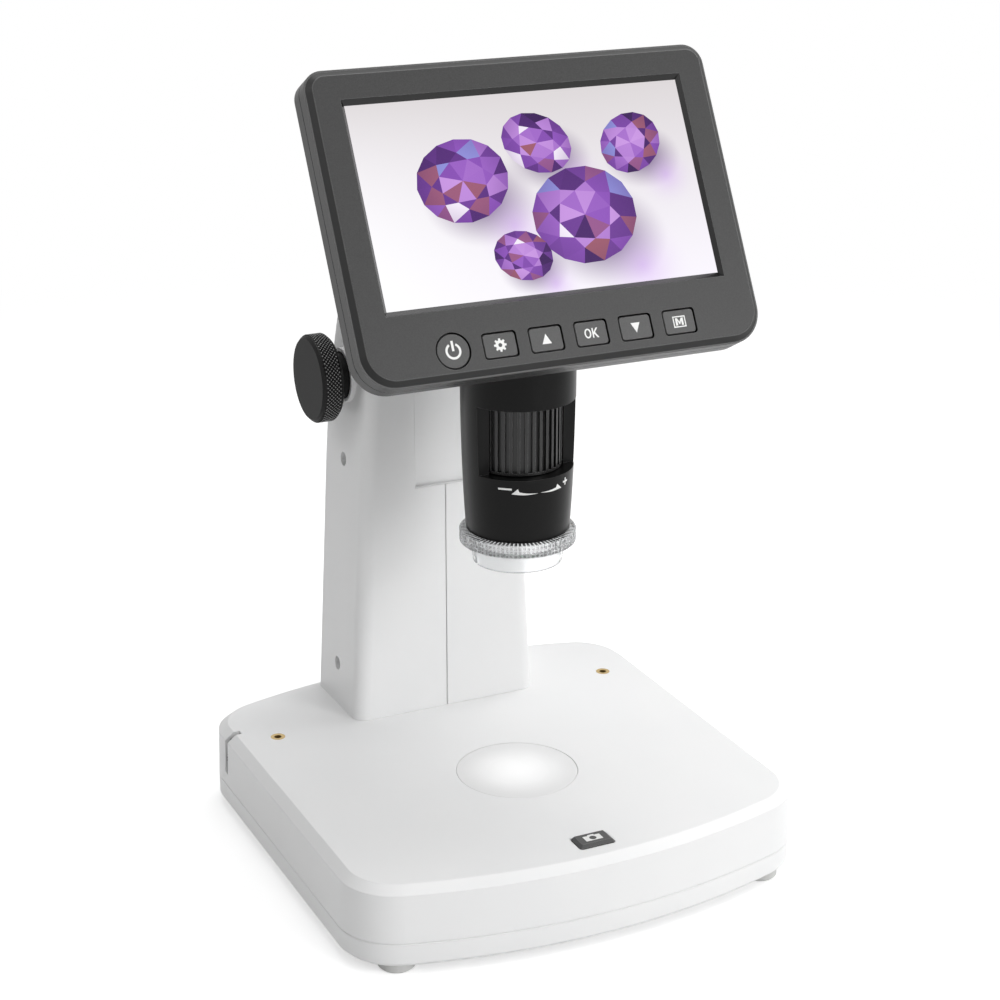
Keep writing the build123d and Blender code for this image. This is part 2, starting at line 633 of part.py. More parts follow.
# --- knob drive --------------------------------------------------------------
def make_pinion():
    # involute spur gear about X, one tooth pointing to -Y
    n, r = GEAR_TEETH, GEAR_R
    rb = r * math.cos(math.radians(20))
    inv20 = math.tan(math.radians(20)) - math.radians(20)
    half = math.pi / (2 * n) - GEAR_BACKLASH / (2 * r)
    tip, root = r + GEAR_MODULE * 0.95, r - GEAR_MODULE * 1.25
    pts = []
    for k in range(n):
        mid = math.pi + 2 * math.pi * k / n
        flank = []
        for q in (root, rb + 0.02, (rb + r) / 2, r, (r + tip) / 2, tip):
            c = min(1.0, rb / q)
            a = math.acos(c)
            flank.append((q, half + inv20 - (math.tan(a) - a)))
        for q, g in flank:
            pts.append((q * math.cos(mid - g), q * math.sin(mid - g)))
        for q, g in reversed(flank):
            pts.append((q * math.cos(mid + g), q * math.sin(mid + g)))
    face = make_face(Polyline(*pts, close=True))
    gear = extrude(SIDE * face, amount=GEAR_HALF_W, both=True)
    gear += Rot(0, 90, 0) * Cylinder(4.4, 2 * GEAR_HALF_W + 6)
    gear -= Rot(0, 90, 0) * Cylinder(SHAFT_R, 2 * GEAR_HALF_W + 20)
    return Pos(0, DRIVE_Y, DRIVE_Z) * gear


def make_pinion_shaft():
    end = KNOB_FACE_X - 2.0
    s = bar_x(DRIVE_Y, DRIVE_Z, -end, end, SHAFT_R)
    return chamfer(s.edges().filter_by(GeomType.CIRCLE), 0.3)


def make_knob(k):
    # knob on the side k, diamond cut rim, hub reaching into the column seat
    inner = KNOB_FACE_X - KNOB_T
    body = Cylinder(KNOB_R, KNOB_T)
    body = chamfer(body.edges().filter_by(GeomType.CIRCLE), 0.9)
    hub_l = inner - (BOSS_X - 1.0)
    body += Pos(0, 0, -KNOB_T / 2 - hub_l / 2) * Cylinder(BOSS_R - 1.7, hub_l)
    body -= Pos(0, 0, -KNOB_T / 2 - hub_l / 2 + (KNOB_T - 2.0) / 2) * Cylinder(
        SHAFT_R, hub_l + KNOB_T - 2.0)
    body -= Pos(0, 4.5, -KNOB_T / 2 - 2.4) * Rot(90, 0, 0) * Cylinder(1.25, 6.5)
    return Pos(k * (KNOB_FACE_X - KNOB_T / 2), DRIVE_Y, DRIVE_Z) * Rot(0, 90 * k, 0) * body


def make_grub_screws():
    out = []
    for k in (-1, 1):
        g = Pos(0, 4.6, -KNOB_T / 2 - 2.4) * Rot(90, 0, 0) * Cylinder(1.25, 4.2)
        g -= Pos(0, 6.7, -KNOB_T / 2 - 2.4) * Rot(90, 0, 0) * Cylinder(0.65, 1.8)
        out.append(Pos(k * (KNOB_FACE_X - KNOB_T / 2), DRIVE_Y, DRIVE_Z) * Rot(0, 90 * k, 0) * g)
    return Compound(out)


# --- lifting carriage --------------------------------------------------------
CAR_BOT_H = DRIVE_H - HEAD_UP - 3.9
CAR_TOP_H = DRIVE_H + HEAD_DOWN + 3.1
COVER_Y0 = COL_FRONT + COL_FRONT_WALL + SLIDE_GAP
COVER_Y1 = COVER_Y0 + 1.5
RACK_ROOT_Y = DRIVE_Y - GEAR_R - GEAR_MODULE * 1.25
RACK_BACK_Y = RACK_ROOT_Y - 2.6
ARM_SCREWS_H = (ARM_BOT_H + 4.0, ARM_TOP_H - 4.0)
ARM_SCREW_X = 6.6


def make_carriage():
    half = col_half(CAR_TOP_H + HEAD_UP) - WALL - 1.4
    z0, z1 = TABLE_Z + CAR_BOT_H, TABLE_Z + CAR_TOP_H
    s = box(-half, half, COVER_Y1, RACK_BACK_Y, z0, z1)
    for k in (-1, 1):
        x0, x1 = sorted((k * (half - 8.5), k * half))
        s += box(x0, x1, COVER_Y1, ROD_Y + ROD_R + 1.3, z0, z1)
    s = chamfer(s.edges().filter_by(Axis.X), 0.6)
    for k in (-1, 1):
        s -= post(k * ROD_X, ROD_Y, z0 - 1, z1 + 1, ROD_R + FIT_GAP)
    for h in ARM_SCREWS_H:
        for k in (-1, 1):
            s -= bar_y(k * ARM_SCREW_X, TABLE_Z + h, COVER_Y1 - 1, RACK_BACK_Y + 1, M3_R + 0.15)
    return s


def make_rack():
    pitch = math.pi * GEAR_MODULE
    z0, z1 = TABLE_Z + CAR_BOT_H, TABLE_Z + CAR_TOP_H
    s = box(-GEAR_HALF_W + 0.2, GEAR_HALF_W - 0.2, RACK_BACK_Y, RACK_ROOT_Y, z0, z1)
    t = math.tan(math.radians(20))
    half = pitch / 4 - GEAR_BACKLASH / 2
    y_pitch = DRIVE_Y - GEAR_R
    y_tip = y_pitch + GEAR_MODULE * 0.95
    teeth = []
    k0 = math.ceil((z0 + 0.8 - DRIVE_Z) / pitch - 0.5)
    k1 = math.floor((z1 - 0.8 - DRIVE_Z) / pitch - 0.5)
    for k in range(k0, k1 + 1):
        zc = DRIVE_Z + (k + 0.5) * pitch
        wr = half + (y_pitch - RACK_ROOT_Y + 0.1) * t
        wt = half - (y_tip - y_pitch) * t
        prof = Polyline((RACK_ROOT_Y - 0.1, zc - wr), (y_tip, zc - wt), (y_tip, zc + wt),
                        (RACK_ROOT_Y - 0.1, zc + wr), close=True)
        face = Pos(-GEAR_HALF_W + 0.2, 0, 0) * SIDE * make_face(prof)
        teeth.append(extrude(face, amount=2 * GEAR_HALF_W - 0.4))
    return s + teeth


def make_slide_cover():
    z0 = TABLE_Z + SLOT_BOTTOM - HEAD_UP - 6.0
    z1 = TABLE_Z + COL_H - WALL - HEAD_UP - 1.2
    s = box(-SLOT_HALF - 2.3, SLOT_HALF + 2.3, COVER_Y0, COVER_Y1, z0, z1)
    s -= box(-ARM_HALF, ARM_HALF, COVER_Y0 - 1, COVER_Y1 + 1, TABLE_Z + ARM_BOT_H,
             TABLE_Z + ARM_TOP_H)
    return s


HOUSING_BOT_H = BARREL_TOP_H
HOUSING_BACK_Y = COL_FRONT - 10.7
HOUSING_HALF = 27.0
HOUSING_TOP_H = BARREL_TOP_H + 51.6
PLATE_T = 2.6
ARM_Y0 = AXIS_Y + BARREL_R_TOP + 4.0
ARM_PLATE_SCREWS = [(k * 5.6, y) for k in (-1, 1)
                    for y in (ARM_Y0 + 5.0, HOUSING_BACK_Y - 5.8)]


def make_arm():
    s = box(-ARM_HALF, ARM_HALF, ARM_Y0, COVER_Y1, TABLE_Z + ARM_BOT_H, TABLE_Z + ARM_TOP_H)
    s = chamfer(s.edges().filter_by(Axis.Y), 0.8)
    s += box(-ARM_HALF, ARM_HALF, ARM_Y0, HOUSING_BACK_Y - 1.0, TABLE_Z + ARM_TOP_H - 1,
             TABLE_Z + HOUSING_BOT_H)
    for h in ARM_SCREWS_H:
        for k in (-1, 1):
            s -= bar_y(k * ARM_SCREW_X, TABLE_Z + h, COVER_Y1 - 9.0, COVER_Y1 + 1, M3_R)
    for x, y in ARM_PLATE_SCREWS:
        s -= post(x, y, TABLE_Z + HOUSING_BOT_H - 7.0, TABLE_Z + HOUSING_BOT_H + 1, M3_R)
    return s


# --- screen placing ----------------------------------------------------------
MON = Pos(0, SCREEN_Y, TABLE_Z + SCREEN_H) * Rot(SCREEN_TILT, 0, 0)


def rear_line(z_local):
    # world (y, z) of a point on the screen axis at this local depth, and the face slope
    t = math.radians(SCREEN_TILT)
    y = SCREEN_Y - z_local * math.sin(t)
    z = TABLE_Z + SCREEN_H + z_local * math.cos(t)
    return y, z, math.cos(t), math.sin(t)


CASE_U = MON_HALF_W - 11.2
CASE_V = KEY_V - 0.9
BEAR_SCREWS = [(sx * 20.5, v) for sx in (-1, 1) for v in (-37.0, -6.0)]
BARREL_SCREW_R = (BARREL_BORE + BARREL_R_TOP) / 2
BARREL_SCREWS = [(BARREL_SCREW_R * math.cos(math.radians(a)),
                  AXIS_Y + BARREL_SCREW_R * math.sin(math.radians(a))) for a in (90, 210, 330)]


def housing_block(grow):
    # block behind the screen: bounded by the rear face of the screen
    y, z, c, s = rear_line(BACK_Z)
    z0 = TABLE_Z + HOUSING_BOT_H - grow
    z1 = TABLE_Z + HOUSING_TOP_H + grow
    yb = HOUSING_BACK_Y + grow
    y_low = y + (z0 - z) * c / s
    y_top = y + (z1 - z) * c / s
    prof = Polyline((y_low, z0), (yb, z0), (yb, z1 - 16.0), (yb - 16.0, z1), (y_top, z1),
                    close=True)
    half = HOUSING_HALF + grow
    return extrude(Pos(-half, 0, 0) * SIDE * make_face(prof), amount=2 * half)


def make_head_housing():
    s = housing_block(0)
    s = chamfer(s.edges().filter_by(Axis.Z), 3.0)
    inner = housing_block(-WALL)
    y, z, c, k = rear_line(BACK_Z)
    # run the hollow out through the open sloping side
    inner += Pos(0, -k * 2.0, c * 2.0) * inner
    s -= inner
    s -= post(0, AXIS_Y, TABLE_Z + HOUSING_BOT_H - 1, TABLE_Z + HOUSING_BOT_H + 6, BARREL_BORE)
    for u, v in BEAR_SCREWS:
        side = math.copysign(HOUSING_HALF - 1.0, u)
        boss = Pos(u, v, BACK_Z - 4.5) * Cylinder(3.4, 9.0)
        boss += box(min(u, side), max(u, side), v - 1.5, v + 1.5, BACK_Z - 9.0, BACK_Z)
        s += (MON * boss) & housing_block(0)
    for u, v in BEAR_SCREWS:
        s -= MON * (Pos(u, v, BACK_Z - 3.5) * Cylinder(M3_R, 9.0))
    for x, y in ARM_PLATE_SCREWS:
        s -= post(x, y, TABLE_Z + HOUSING_BOT_H - 1, TABLE_Z + HOUSING_BOT_H + 5, M3_R + 0.15)
    for x, y in BARREL_SCREWS:
        s -= post(x, y, TABLE_Z + HOUSING_BOT_H - 1, TABLE_Z + HOUSING_BOT_H + 5, M2_R + 0.1)
    return s


# --- barrel ------------------------------------------------------------------
def zb(h):
    return TABLE_Z + h


LED_H = BARREL_BOT_H + 4.8
SLEEVE_H = WINDOW_BOT_H - 9.4


def make_barrel_housing():
    z0, z1, z2 = zb(BARREL_BOT_H), zb(WINDOW_BOT_H), zb(BARREL_TOP_H)
    prof = Wire([Line((0, z0), (BARREL_R_BOT, z0)),
                 ThreePointArc((BARREL_R_BOT, z0), (BARREL_R_MID, z1), (BARREL_R_TOP, z2)),
                 Line((BARREL_R_TOP, z2), (0, z2)), Line((0, z2), (0, z0))])
    s = Pos(0, AXIS_Y, 0) * revolve(Plane.XZ * make_face(prof), Axis.Z)
    s = chamfer(s.edges().filter_by(GeomType.CIRCLE).sort_by(Axis.Z)[0], 0.4)
    s -= post(0, AXIS_Y, zb(BARREL_BOT_H) - 1, zb(LED_H) + BOARD_T, BARREL_BORE - 1.2)
    s -= post(0, AXIS_Y, zb(LED_H), zb(SLEEVE_H), BARREL_BORE - 2.0)
    s -= post(0, AXIS_Y, zb(SLEEVE_H) - 1, zb(WINDOW_BOT_H), CELL_R + FIT_GAP)
    s -= box(-1.0, 1.0, AXIS_Y + CELL_R - 1, AXIS_Y + CELL_R + 1.3, zb(SLEEVE_H) - 1,
             zb(WINDOW_BOT_H))
    s -= post(0, AXIS_Y, zb(WINDOW_BOT_H), zb(BARREL_TOP_H) + 1, BARREL_BORE)
    # focus window cut straight across the front of the barrel
    s -= box(-30, 30, AXIS_Y - 30, AXIS_Y - WINDOW_CUT, zb(WINDOW_BOT_H), zb(WINDOW_TOP_H))
    for x, y in BARREL_SCREWS:
        s -= post(x, y, zb(BARREL_TOP_H) - 5.0, zb(BARREL_TOP_H) + 1, M2_R)
    return s


def make_focus_wheel():
    z0, z1 = zb(WINDOW_BOT_H) + 0.3, zb(WINDOW_TOP_H) - 0.3
    s = post(0, AXIS_Y, z0, z1, WHEEL_R)
    cuts = []
    for k in range(WHEEL_RIBS):
        a = 360.0 * k / WHEEL_RIBS
        c = Pos(0, AXIS_Y, (z0 + z1) / 2) * Rot(0, 0, a) * Pos(WHEEL_R, 0, 0)
        cuts.append(c * Box(2.2, 1.5, z1 - z0 - 1.6))
    s -= cuts
    return s - post(0, AXIS_Y, z0 - 1, z1 + 1, CELL_R + FIT_GAP)


CELL_BOT_H = WINDOW_BOT_H - 12.4
CELL_TOP_H = CELL_BOT_H + 30.0


def make_lens_cell():
    s = post(0, AXIS_Y, zb(CELL_BOT_H), zb(CELL_TOP_H), CELL_R)
    s = chamfer(s.edges().filter_by(GeomType.CIRCLE), 0.3)
    s -= post(0, AXIS_Y, zb(CELL_BOT_H) - 1, zb(CELL_BOT_H) + 5.0, CELL_R - 1.6)
    s -= post(0, AXIS_Y, zb(CELL_BOT_H), zb(CELL_TOP_H) + 1, CELL_R - 2.6)
    return s + box(-0.75, 0.75, AXIS_Y + CELL_R - 0.5, AXIS_Y + CELL_R + 0.8,
                   zb(CELL_BOT_H) + 1.0, zb(CELL_BOT_H) + 8.0)


def make_lens_glass():
    r = CELL_R - 1.6
    z = zb(CELL_BOT_H)
    s = post(0, AXIS_Y, z + 2.2, z + 5.0, r)
    dome_r = (r * r + 1.2 * 1.2) / (2 * 1.2)
    dome = Pos(0, AXIS_Y, z + 2.2 + dome_r - 1.2) * Sphere(dome_r)
    return s + (dome & post(0, AXIS_Y, z + 0.8, z + 2.4, r))


def make_sensor_holder():
    h0, h1 = WINDOW_TOP_H, BARREL_TOP_H + PLATE_T
    s = ring(0, AXIS_Y, zb(h0), zb(h1), BARREL_BORE - FIT_GAP, BARREL_BORE - 3.0)
    plate = box(-15.5, 15.5, AXIS_Y - 14.6, AXIS_Y + 15.5, zb(h1), zb(h1) + 2.0)
    plate -= post(0, AXIS_Y, zb(h1) - 1, zb(h1) + 3, BARREL_BORE - 3.0)
    s += plate
    for k in (-1, 1):
        s -= post(k * 12.6, AXIS_Y + 12.6, zb(h1) - 1, zb(h1) + 3, M2_R)
    for x, y in BARREL_SCREWS:
        s -= post(x, y, zb(h1) - 1, zb(h1) + 3, M2_HEAD_R + 0.3)
    return s


def make_sensor_board():
    h = BARREL_TOP_H + PLATE_T + 2.0
    s = box(-14.0, 14.0, AXIS_Y - 13.6, AXIS_Y + 14.6, zb(h), zb(h) + BOARD_T)
    s += box(-4.5, 4.5, AXIS_Y - 4.5, AXIS_Y + 4.5, zb(h) - 1.0, zb(h) + 0.1)
    s += box(-6.0, 6.0, AXIS_Y + 6.0, AXIS_Y + 9.0, zb(h) + BOARD_T - 0.1, zb(h) + BOARD_T + 1.6)
    for k in (-1, 1):
        s -= post(k * 12.6, AXIS_Y + 12.6, zb(h) - 1, zb(h) + BOARD_T + 1, M2_R + 0.1)
    return s


def make_led_ring_board():
    s = ring(0, AXIS_Y, zb(LED_H), zb(LED_H) + BOARD_T, BARREL_BORE - 1.2, CELL_R + 0.8)
    for k in range(8):
        a = math.radians(22.5 + 45 * k)
        x, y = 10.9 * math.cos(a), AXIS_Y + 10.9 * math.sin(a)
        s += box(x - 0.8, x + 0.8, y - 0.8, y + 0.8, zb(LED_H) - 0.7, zb(LED_H) + 0.1)
    return s


def make_clear_cap():
    top = zb(BARREL_BOT_H) - 0.1
    mid = top - CAP_H
    s = post(0, AXIS_Y, mid, top, CAP_R)
    s = chamfer(s.edges().filter_by(GeomType.CIRCLE), 0.35)
    s += tapered(0, AXIS_Y, mid - SKIRT_H, mid + 0.1, SKIRT_R_BOT, SKIRT_R_TOP)
    s += post(0, AXIS_Y, top - 0.1, top + 3.4, BARREL_BORE - 1.2 - FIT_GAP)
    s -= post(0, AXIS_Y, mid - SKIRT_H - 1, top + 5, SKIRT_R_BOT - 1.3 - 1.2)
    s -= tapered(0, AXIS_Y, mid - SKIRT_H - 0.01, mid - 0.5, SKIRT_R_BOT - 1.2,
                 SKIRT_R_TOP - 1.3)
    cuts = []
    for k in range(CAP_TEETH):
        c = Pos(0, AXIS_Y, (mid + top) / 2) * Rot(0, 0, 360.0 * k / CAP_TEETH) * Pos(CAP_R, 0, 0)
        cuts.append(c * Box(0.9, 0.9, CAP_H + 1))
    s -= cuts
    s -= ring(0, AXIS_Y, (mid + top) / 2 - 0.3, (mid + top) / 2 + 0.3, CAP_R + 1, CAP_R - 0.5)
    return s - box(-SKIRT_R_TOP - 2, -SKIRT_R_BOT + 3, AXIS_Y - 0.6, AXIS_Y + 0.6,
                   mid - SKIRT_H - 1, mid - SKIRT_H + 2.6)


# --- screen ------------------------------------------------------------------
def mon_plan(inset):
    h = MON_TOP - MON_BOT - 2 * inset
    plan = Pos(0, (MON_TOP + MON_BOT) / 2) * Rectangle(2 * (MON_HALF_W - inset), h)
    plan = fillet(plan.vertices().sort_by(Axis.Y)[:2], max(MON_R_BOT - inset, 2.5))
    return fillet(plan.vertices().sort_by(Axis.Y)[-2:], max(MON_R_TOP - inset, 2.5))


def mon_slab(inset, z0, z1):
    return Pos(0, 0, z0) * extrude(mon_plan(inset), z1 - z0)


def mon_taper(i0, z0, i1, z1):
    return loft([Pos(0, 0, z0) * mon_plan(i0), Pos(0, 0, z1) * mon_plan(i1)], ruled=True)


def plate_at(u0, u1, v0, v1, z0, z1, r=0.0):
    if r > 0:
        plan = Pos((u0 + u1) / 2, (v0 + v1) / 2, z0) * RectangleRounded(u1 - u0, v1 - v0, r)
        return extrude(plan, z1 - z0)
    return box(u0, u1, v0, v1, z0, z1)


LCD_Z = FACE_Z - 1.4
FACE_IN_Z = FACE_Z - MON_WALL
LCD_EDGE = 3.9
LCD_T = 2.0
TRAY_T = 2.8
KEYS = [("power_button", -2.5, True), ("settings_button", -1.5, False), ("up_button", -0.5, False),
        ("ok_button", 0.5, False), ("down_button", 1.5, False), ("mode_button", 2.5, False)]
KEY_BOARD_Z = FACE_IN_Z - 6.0
KEY_POSTS = (-2 * KEY_PITCH, 0.0, 2 * KEY_PITCH)
KEY_POST_V = KEY_V + 7.1
BOARD_Z = TAPER_Z + 0.3
MB_U0, MB_U1 = -LCD_HALF_W + 15.35, MON_HALF_W - MON_WALL - 1.5
MB_V0, MB_V1 = -LCD_HALF_H - 3.85, LCD_HALF_H - 0.15
MB_POSTS = [(u, v) for u in (MB_U0 + 4.0, MB_U1 - 12.5) for v in (MB_V0 + 4.0, MB_V1 - 4.0)]
USB_V = 2.0
CARD_V = -16.0


def key_cut(k, round_key, grow, z0, z1):
    u = k * KEY_PITCH
    if round_key:
        return Pos(u, KEY_V, (z0 + z1) / 2) * Cylinder(KEY_ROUND_R + grow, z1 - z0)
    return plate_at(u - KEY_W / 2 - grow, u + KEY_W / 2 + grow, KEY_V - KEY_D / 2 - grow,
                    KEY_V + KEY_D / 2 + grow, z0, z1, 1.2)


def make_monitor_bezel():
    s = mon_slab(0, PART_Z + SEAM_V / 2, CHAMFER_Z)
    s += mon_slab(SEAM_DEEP, PART_Z, PART_Z + SEAM_V)
    s += mon_taper(0.5, CHAMFER_Z, FACE_IN, FACE_Z)
    s -= mon_slab(MON_WALL, PART_Z - 1, FACE_IN_Z)
    # window with a bevelled edge, pocket for the panel behind it
    w, h = LCD_HALF_W + 0.1, LCD_HALF_H + 0.1
    outer = Pos(0, 0, FACE_Z) * Rectangle(2 * w + 2.2, 2 * h + 3.0)
    inner = Pos(0, 0, LCD_Z) * Rectangle(2 * w, 2 * h)
    s -= loft([inner, outer], ruled=True)
    s -= box(-LCD_HALF_W - LCD_EDGE, LCD_HALF_W + LCD_EDGE, -LCD_HALF_H - LCD_EDGE,
             LCD_HALF_H + LCD_EDGE, PART_Z - 1, LCD_Z)
    for name, k, is_round in KEYS:
        s -= key_cut(k, is_round, SLIDE_GAP, FACE_IN_Z - 1, FACE_Z + 1)
    for u in KEY_POSTS:
        s += post(u, KEY_POST_V, KEY_BOARD_Z + BOARD_T, FACE_IN_Z + 0.1, 1.9)
        s -= post(u, KEY_POST_V, KEY_BOARD_Z, KEY_BOARD_Z + 5.5, M2_R)
    for k in (-1, 1):
        s += post(k * CASE_U, CASE_V, PART_Z, FACE_IN_Z + 0.1, 3.4)
        s -= post(k * CASE_U, CASE_V, PART_Z - 1, PART_Z + 4.2, M3_R)
    return MON * s


def make_monitor_rear_cover():
    s = mon_slab(0, TAPER_Z, PART_Z - SEAM_V / 2)
    s += mon_slab(SEAM_DEEP, PART_Z - SEAM_V, PART_Z)
    s += mon_taper(TAPER_IN, BACK_Z, 0, TAPER_Z)
    hollow = mon_slab(MON_WALL, TAPER_Z, PART_Z + 1)
    hollow += mon_taper(TAPER_IN + MON_WALL, BACK_Z + MON_WALL, MON_WALL, TAPER_Z)
    s -= hollow
    for k in (-1, 1):
        s += Pos(k * CASE_U, CASE_V, (PART_Z + BACK_Z) / 2 + 0.5) * Cylinder(
            4.2, PART_Z - BACK_Z - 1.0)
    s &= mon_slab(0, TAPER_Z, PART_Z) + mon_taper(TAPER_IN, BACK_Z, 0, TAPER_Z)
    for k in (-1, 1):
        s -= Pos(k * CASE_U, CASE_V, (BACK_Z + PART_Z) / 2) * Cylinder(
            M3_R + 0.15, PART_Z - BACK_Z + 2)
        s -= Pos(k * CASE_U, CASE_V, (BACK_Z - 1 + PART_Z - 4.0) / 2) * Cylinder(
            M3_HEAD_R + 0.3, PART_Z - 4.0 - BACK_Z + 1)
    for u, v in MB_POSTS:
        s += Pos(u, v, (BACK_Z + 1 + BOARD_Z - BOARD_T) / 2) * Cylinder(
            2.6, BOARD_Z - BOARD_T - BACK_Z - 1)
        s -= Pos(u, v, BOARD_Z - BOARD_T - 2.0) * Cylinder(M2_R, 4.2)
    for u, v in BEAR_SCREWS:
        s -= Pos(u, v, BACK_Z + 1) * Cylinder(M3_R + 0.15, 6.0)
    # cable pass, side ports
    s -= plate_at(-9.0, 9.0, -34.0, -26.0, BACK_Z - 1, BACK_Z + MON_WALL + 1, 2.0)
    zc = BOARD_Z + 1.6
    s -= box(MON_HALF_W - 4, MON_HALF_W + 1, USB_V - 4.7, USB_V + 4.7, zc - 1.65, zc + 1.65)
    s -= box(MON_HALF_W - 4, MON_HALF_W + 1, CARD_V - 6.0, CARD_V + 6.0, BOARD_Z + 0.3,
             BOARD_Z + 1.4)
    return MON * s


def make_lcd_panel():
    w, h = LCD_HALF_W + LCD_EDGE - SEAT_GAP, LCD_HALF_H + LCD_EDGE - SEAT_GAP
    return MON * box(-w, w, -h, h, LCD_Z - LCD_T, LCD_Z)


def make_lcd_tray():
    w, h = LCD_HALF_W + LCD_EDGE - SEAT_GAP, LCD_HALF_H + LCD_EDGE - SEAT_GAP
    z1 = LCD_Z - LCD_T
    s = box(-w, w, -h, h, z1 - TRAY_T, z1)
    s -= box(-w + 6, w - 6, -h + 5, h - 5, z1 - TRAY_T - 1, z1 - TRAY_T + 0.6)
    # corner legs down to the circuit board, which holds the panel to the bezel
    for u, v in MB_POSTS:
        s += Pos(u - math.copysign(5.5, u), v - math.copysign(4.0, v),
                 (z1 - TRAY_T + BOARD_Z) / 2 + 0.3) * Cylinder(1.8, z1 - TRAY_T - BOARD_Z + 0.6)
    return MON * s


def make_key_board():
    z = KEY_BOARD_Z
    half = 2.5 * KEY_PITCH + 8.25
    s = box(-half, half, KEY_V - 5.2, KEY_POST_V + 2.4, z, z + BOARD_T)
    top = FACE_IN_Z - 2.6 - KEY_TRAVEL - 0.1
    for name, k, is_round in KEYS:
        u = k * KEY_PITCH
        s += box(u - 2.6, u + 2.6, KEY_V - 2.6, KEY_V + 2.6, z + BOARD_T - 0.1, top - 0.5)
        s += Pos(u, KEY_V, top - 0.4) * Cylinder(1.2, 0.8)
    for u in KEY_POSTS:
        s -= post(u, KEY_POST_V, z - 1, z + 2, M2_R + 0.1)
    return MON * s


def make_key(k, is_round):
    top = FACE_Z - 0.15
    s = key_cut(k, is_round, 0, FACE_IN_Z - 1.2, top)
    s = chamfer(s.faces().sort_by(Axis.Z)[-1].edges(), 0.35)
    s += key_cut(k, is_round, 0.9, FACE_IN_Z - 1.2, FACE_IN_Z - 0.05)
    s += Pos(k * KEY_PITCH, KEY_V, FACE_IN_Z - 1.85) * Cylinder(1.5, 1.5)
    return MON * s


def make_main_board():
    z0, z1 = BOARD_Z - BOARD_T, BOARD_Z
    s = box(MB_U0, MB_U1, MB_V0, MB_V1, z0, z1)
    s += box(-22.0, -6.0, -8.0, 8.0, z1 - 0.1, z1 + 1.5)
    s += box(4.0, 16.0, -2.0, 8.0, z1 - 0.1, z1 + 1.2)
    s += box(24.0, 30.0, 14.0, 22.0, z1 - 0.1, z1 + 1.8)
    s += box(-6.0, 6.0, MB_V0 + 1.5, MB_V0 + 4.5, z0 - 1.6, z0 + 0.1)
    for u, v in MB_POSTS:
        s -= Pos(u, v, z1) * Cylinder(M2_R + 0.1, 6.0)
    return MON * s


def make_usb_socket():
    u1 = MON_HALF_W - MON_WALL
    z0 = BOARD_Z
    s = plate_at(u1 - 7.4, u1, USB_V - 4.5, USB_V + 4.5, z0, z0 + 3.2)
    s = fillet(s.edges().filter_by(Axis.X), 1.4)
    s -= box(u1 - 6.4, u1 + 1, USB_V - 3.9, USB_V + 3.9, z0 + 0.6, z0 + 2.6)
    return MON * (s + box(u1 - 6.6, u1 - 0.8, USB_V - 3.2, USB_V + 3.2, z0 + 1.25, z0 + 1.95))


def make_card_slot():
    u1 = MON_HALF_W - MON_WALL
    z0 = BOARD_Z
    s = box(u1 - 14.5, u1, CARD_V - 6.8, CARD_V + 6.8, z0, z0 + 1.8)
    return MON * (s - box(u1 - 13.6, u1 + 1, CARD_V - 5.7, CARD_V + 5.7, z0 + 0.4, z0 + 1.3))


def make_battery():
    z0 = BACK_Z + MON_WALL
    s = plate_at(-30.0, 34.0, 2.5, 28.5, z0, z0 + 4.6, 1.5)
    return MON * s


def make_head_screws():
    out = []
    for h in ARM_SCREWS_H:
        for k in (-1, 1):
            out.append(Pos(k * ARM_SCREW_X, RACK_BACK_Y, TABLE_Z + h) * Rot(-90, 0, 0) * m3())
    for x, y in ARM_PLATE_SCREWS:
        out.append(post_screw(x, y, zb(HOUSING_BOT_H + WALL), m3()))
    for u, v in BEAR_SCREWS:
        out.append(MON * (Pos(u, v, BACK_Z + MON_WALL) * m3()))
    for k in (-1, 1):
        out.append(MON * (Pos(k * CASE_U, CASE_V, PART_Z - 4.0) * Rot(180, 0, 0) * m3()))
    return Compound(out)


def post_screw(x, y, z, s):
    return Pos(x, y, z) * s


def make_head_board_screws():
    out = []
    for u, v in MB_POSTS:
        out.append(MON * (Pos(u, v, BOARD_Z) * m2(4.5)))
    for u in KEY_POSTS:
        out.append(MON * (Pos(u, KEY_POST_V, KEY_BOARD_Z) * Rot(180, 0, 0) * m2(4.5)))
    for x, y in BARREL_SCREWS:
        out.append(post_screw(x, y, zb(HOUSING_BOT_H + WALL), m2(4.5)))
    for k in (-1, 1):
        h = BARREL_TOP_H + PLATE_T + 2.0
        out.append(post_screw(k * 12.6, AXIS_Y + 12.6, zb(h) + BOARD_T, m2(3.0)))
    return Compound(out)


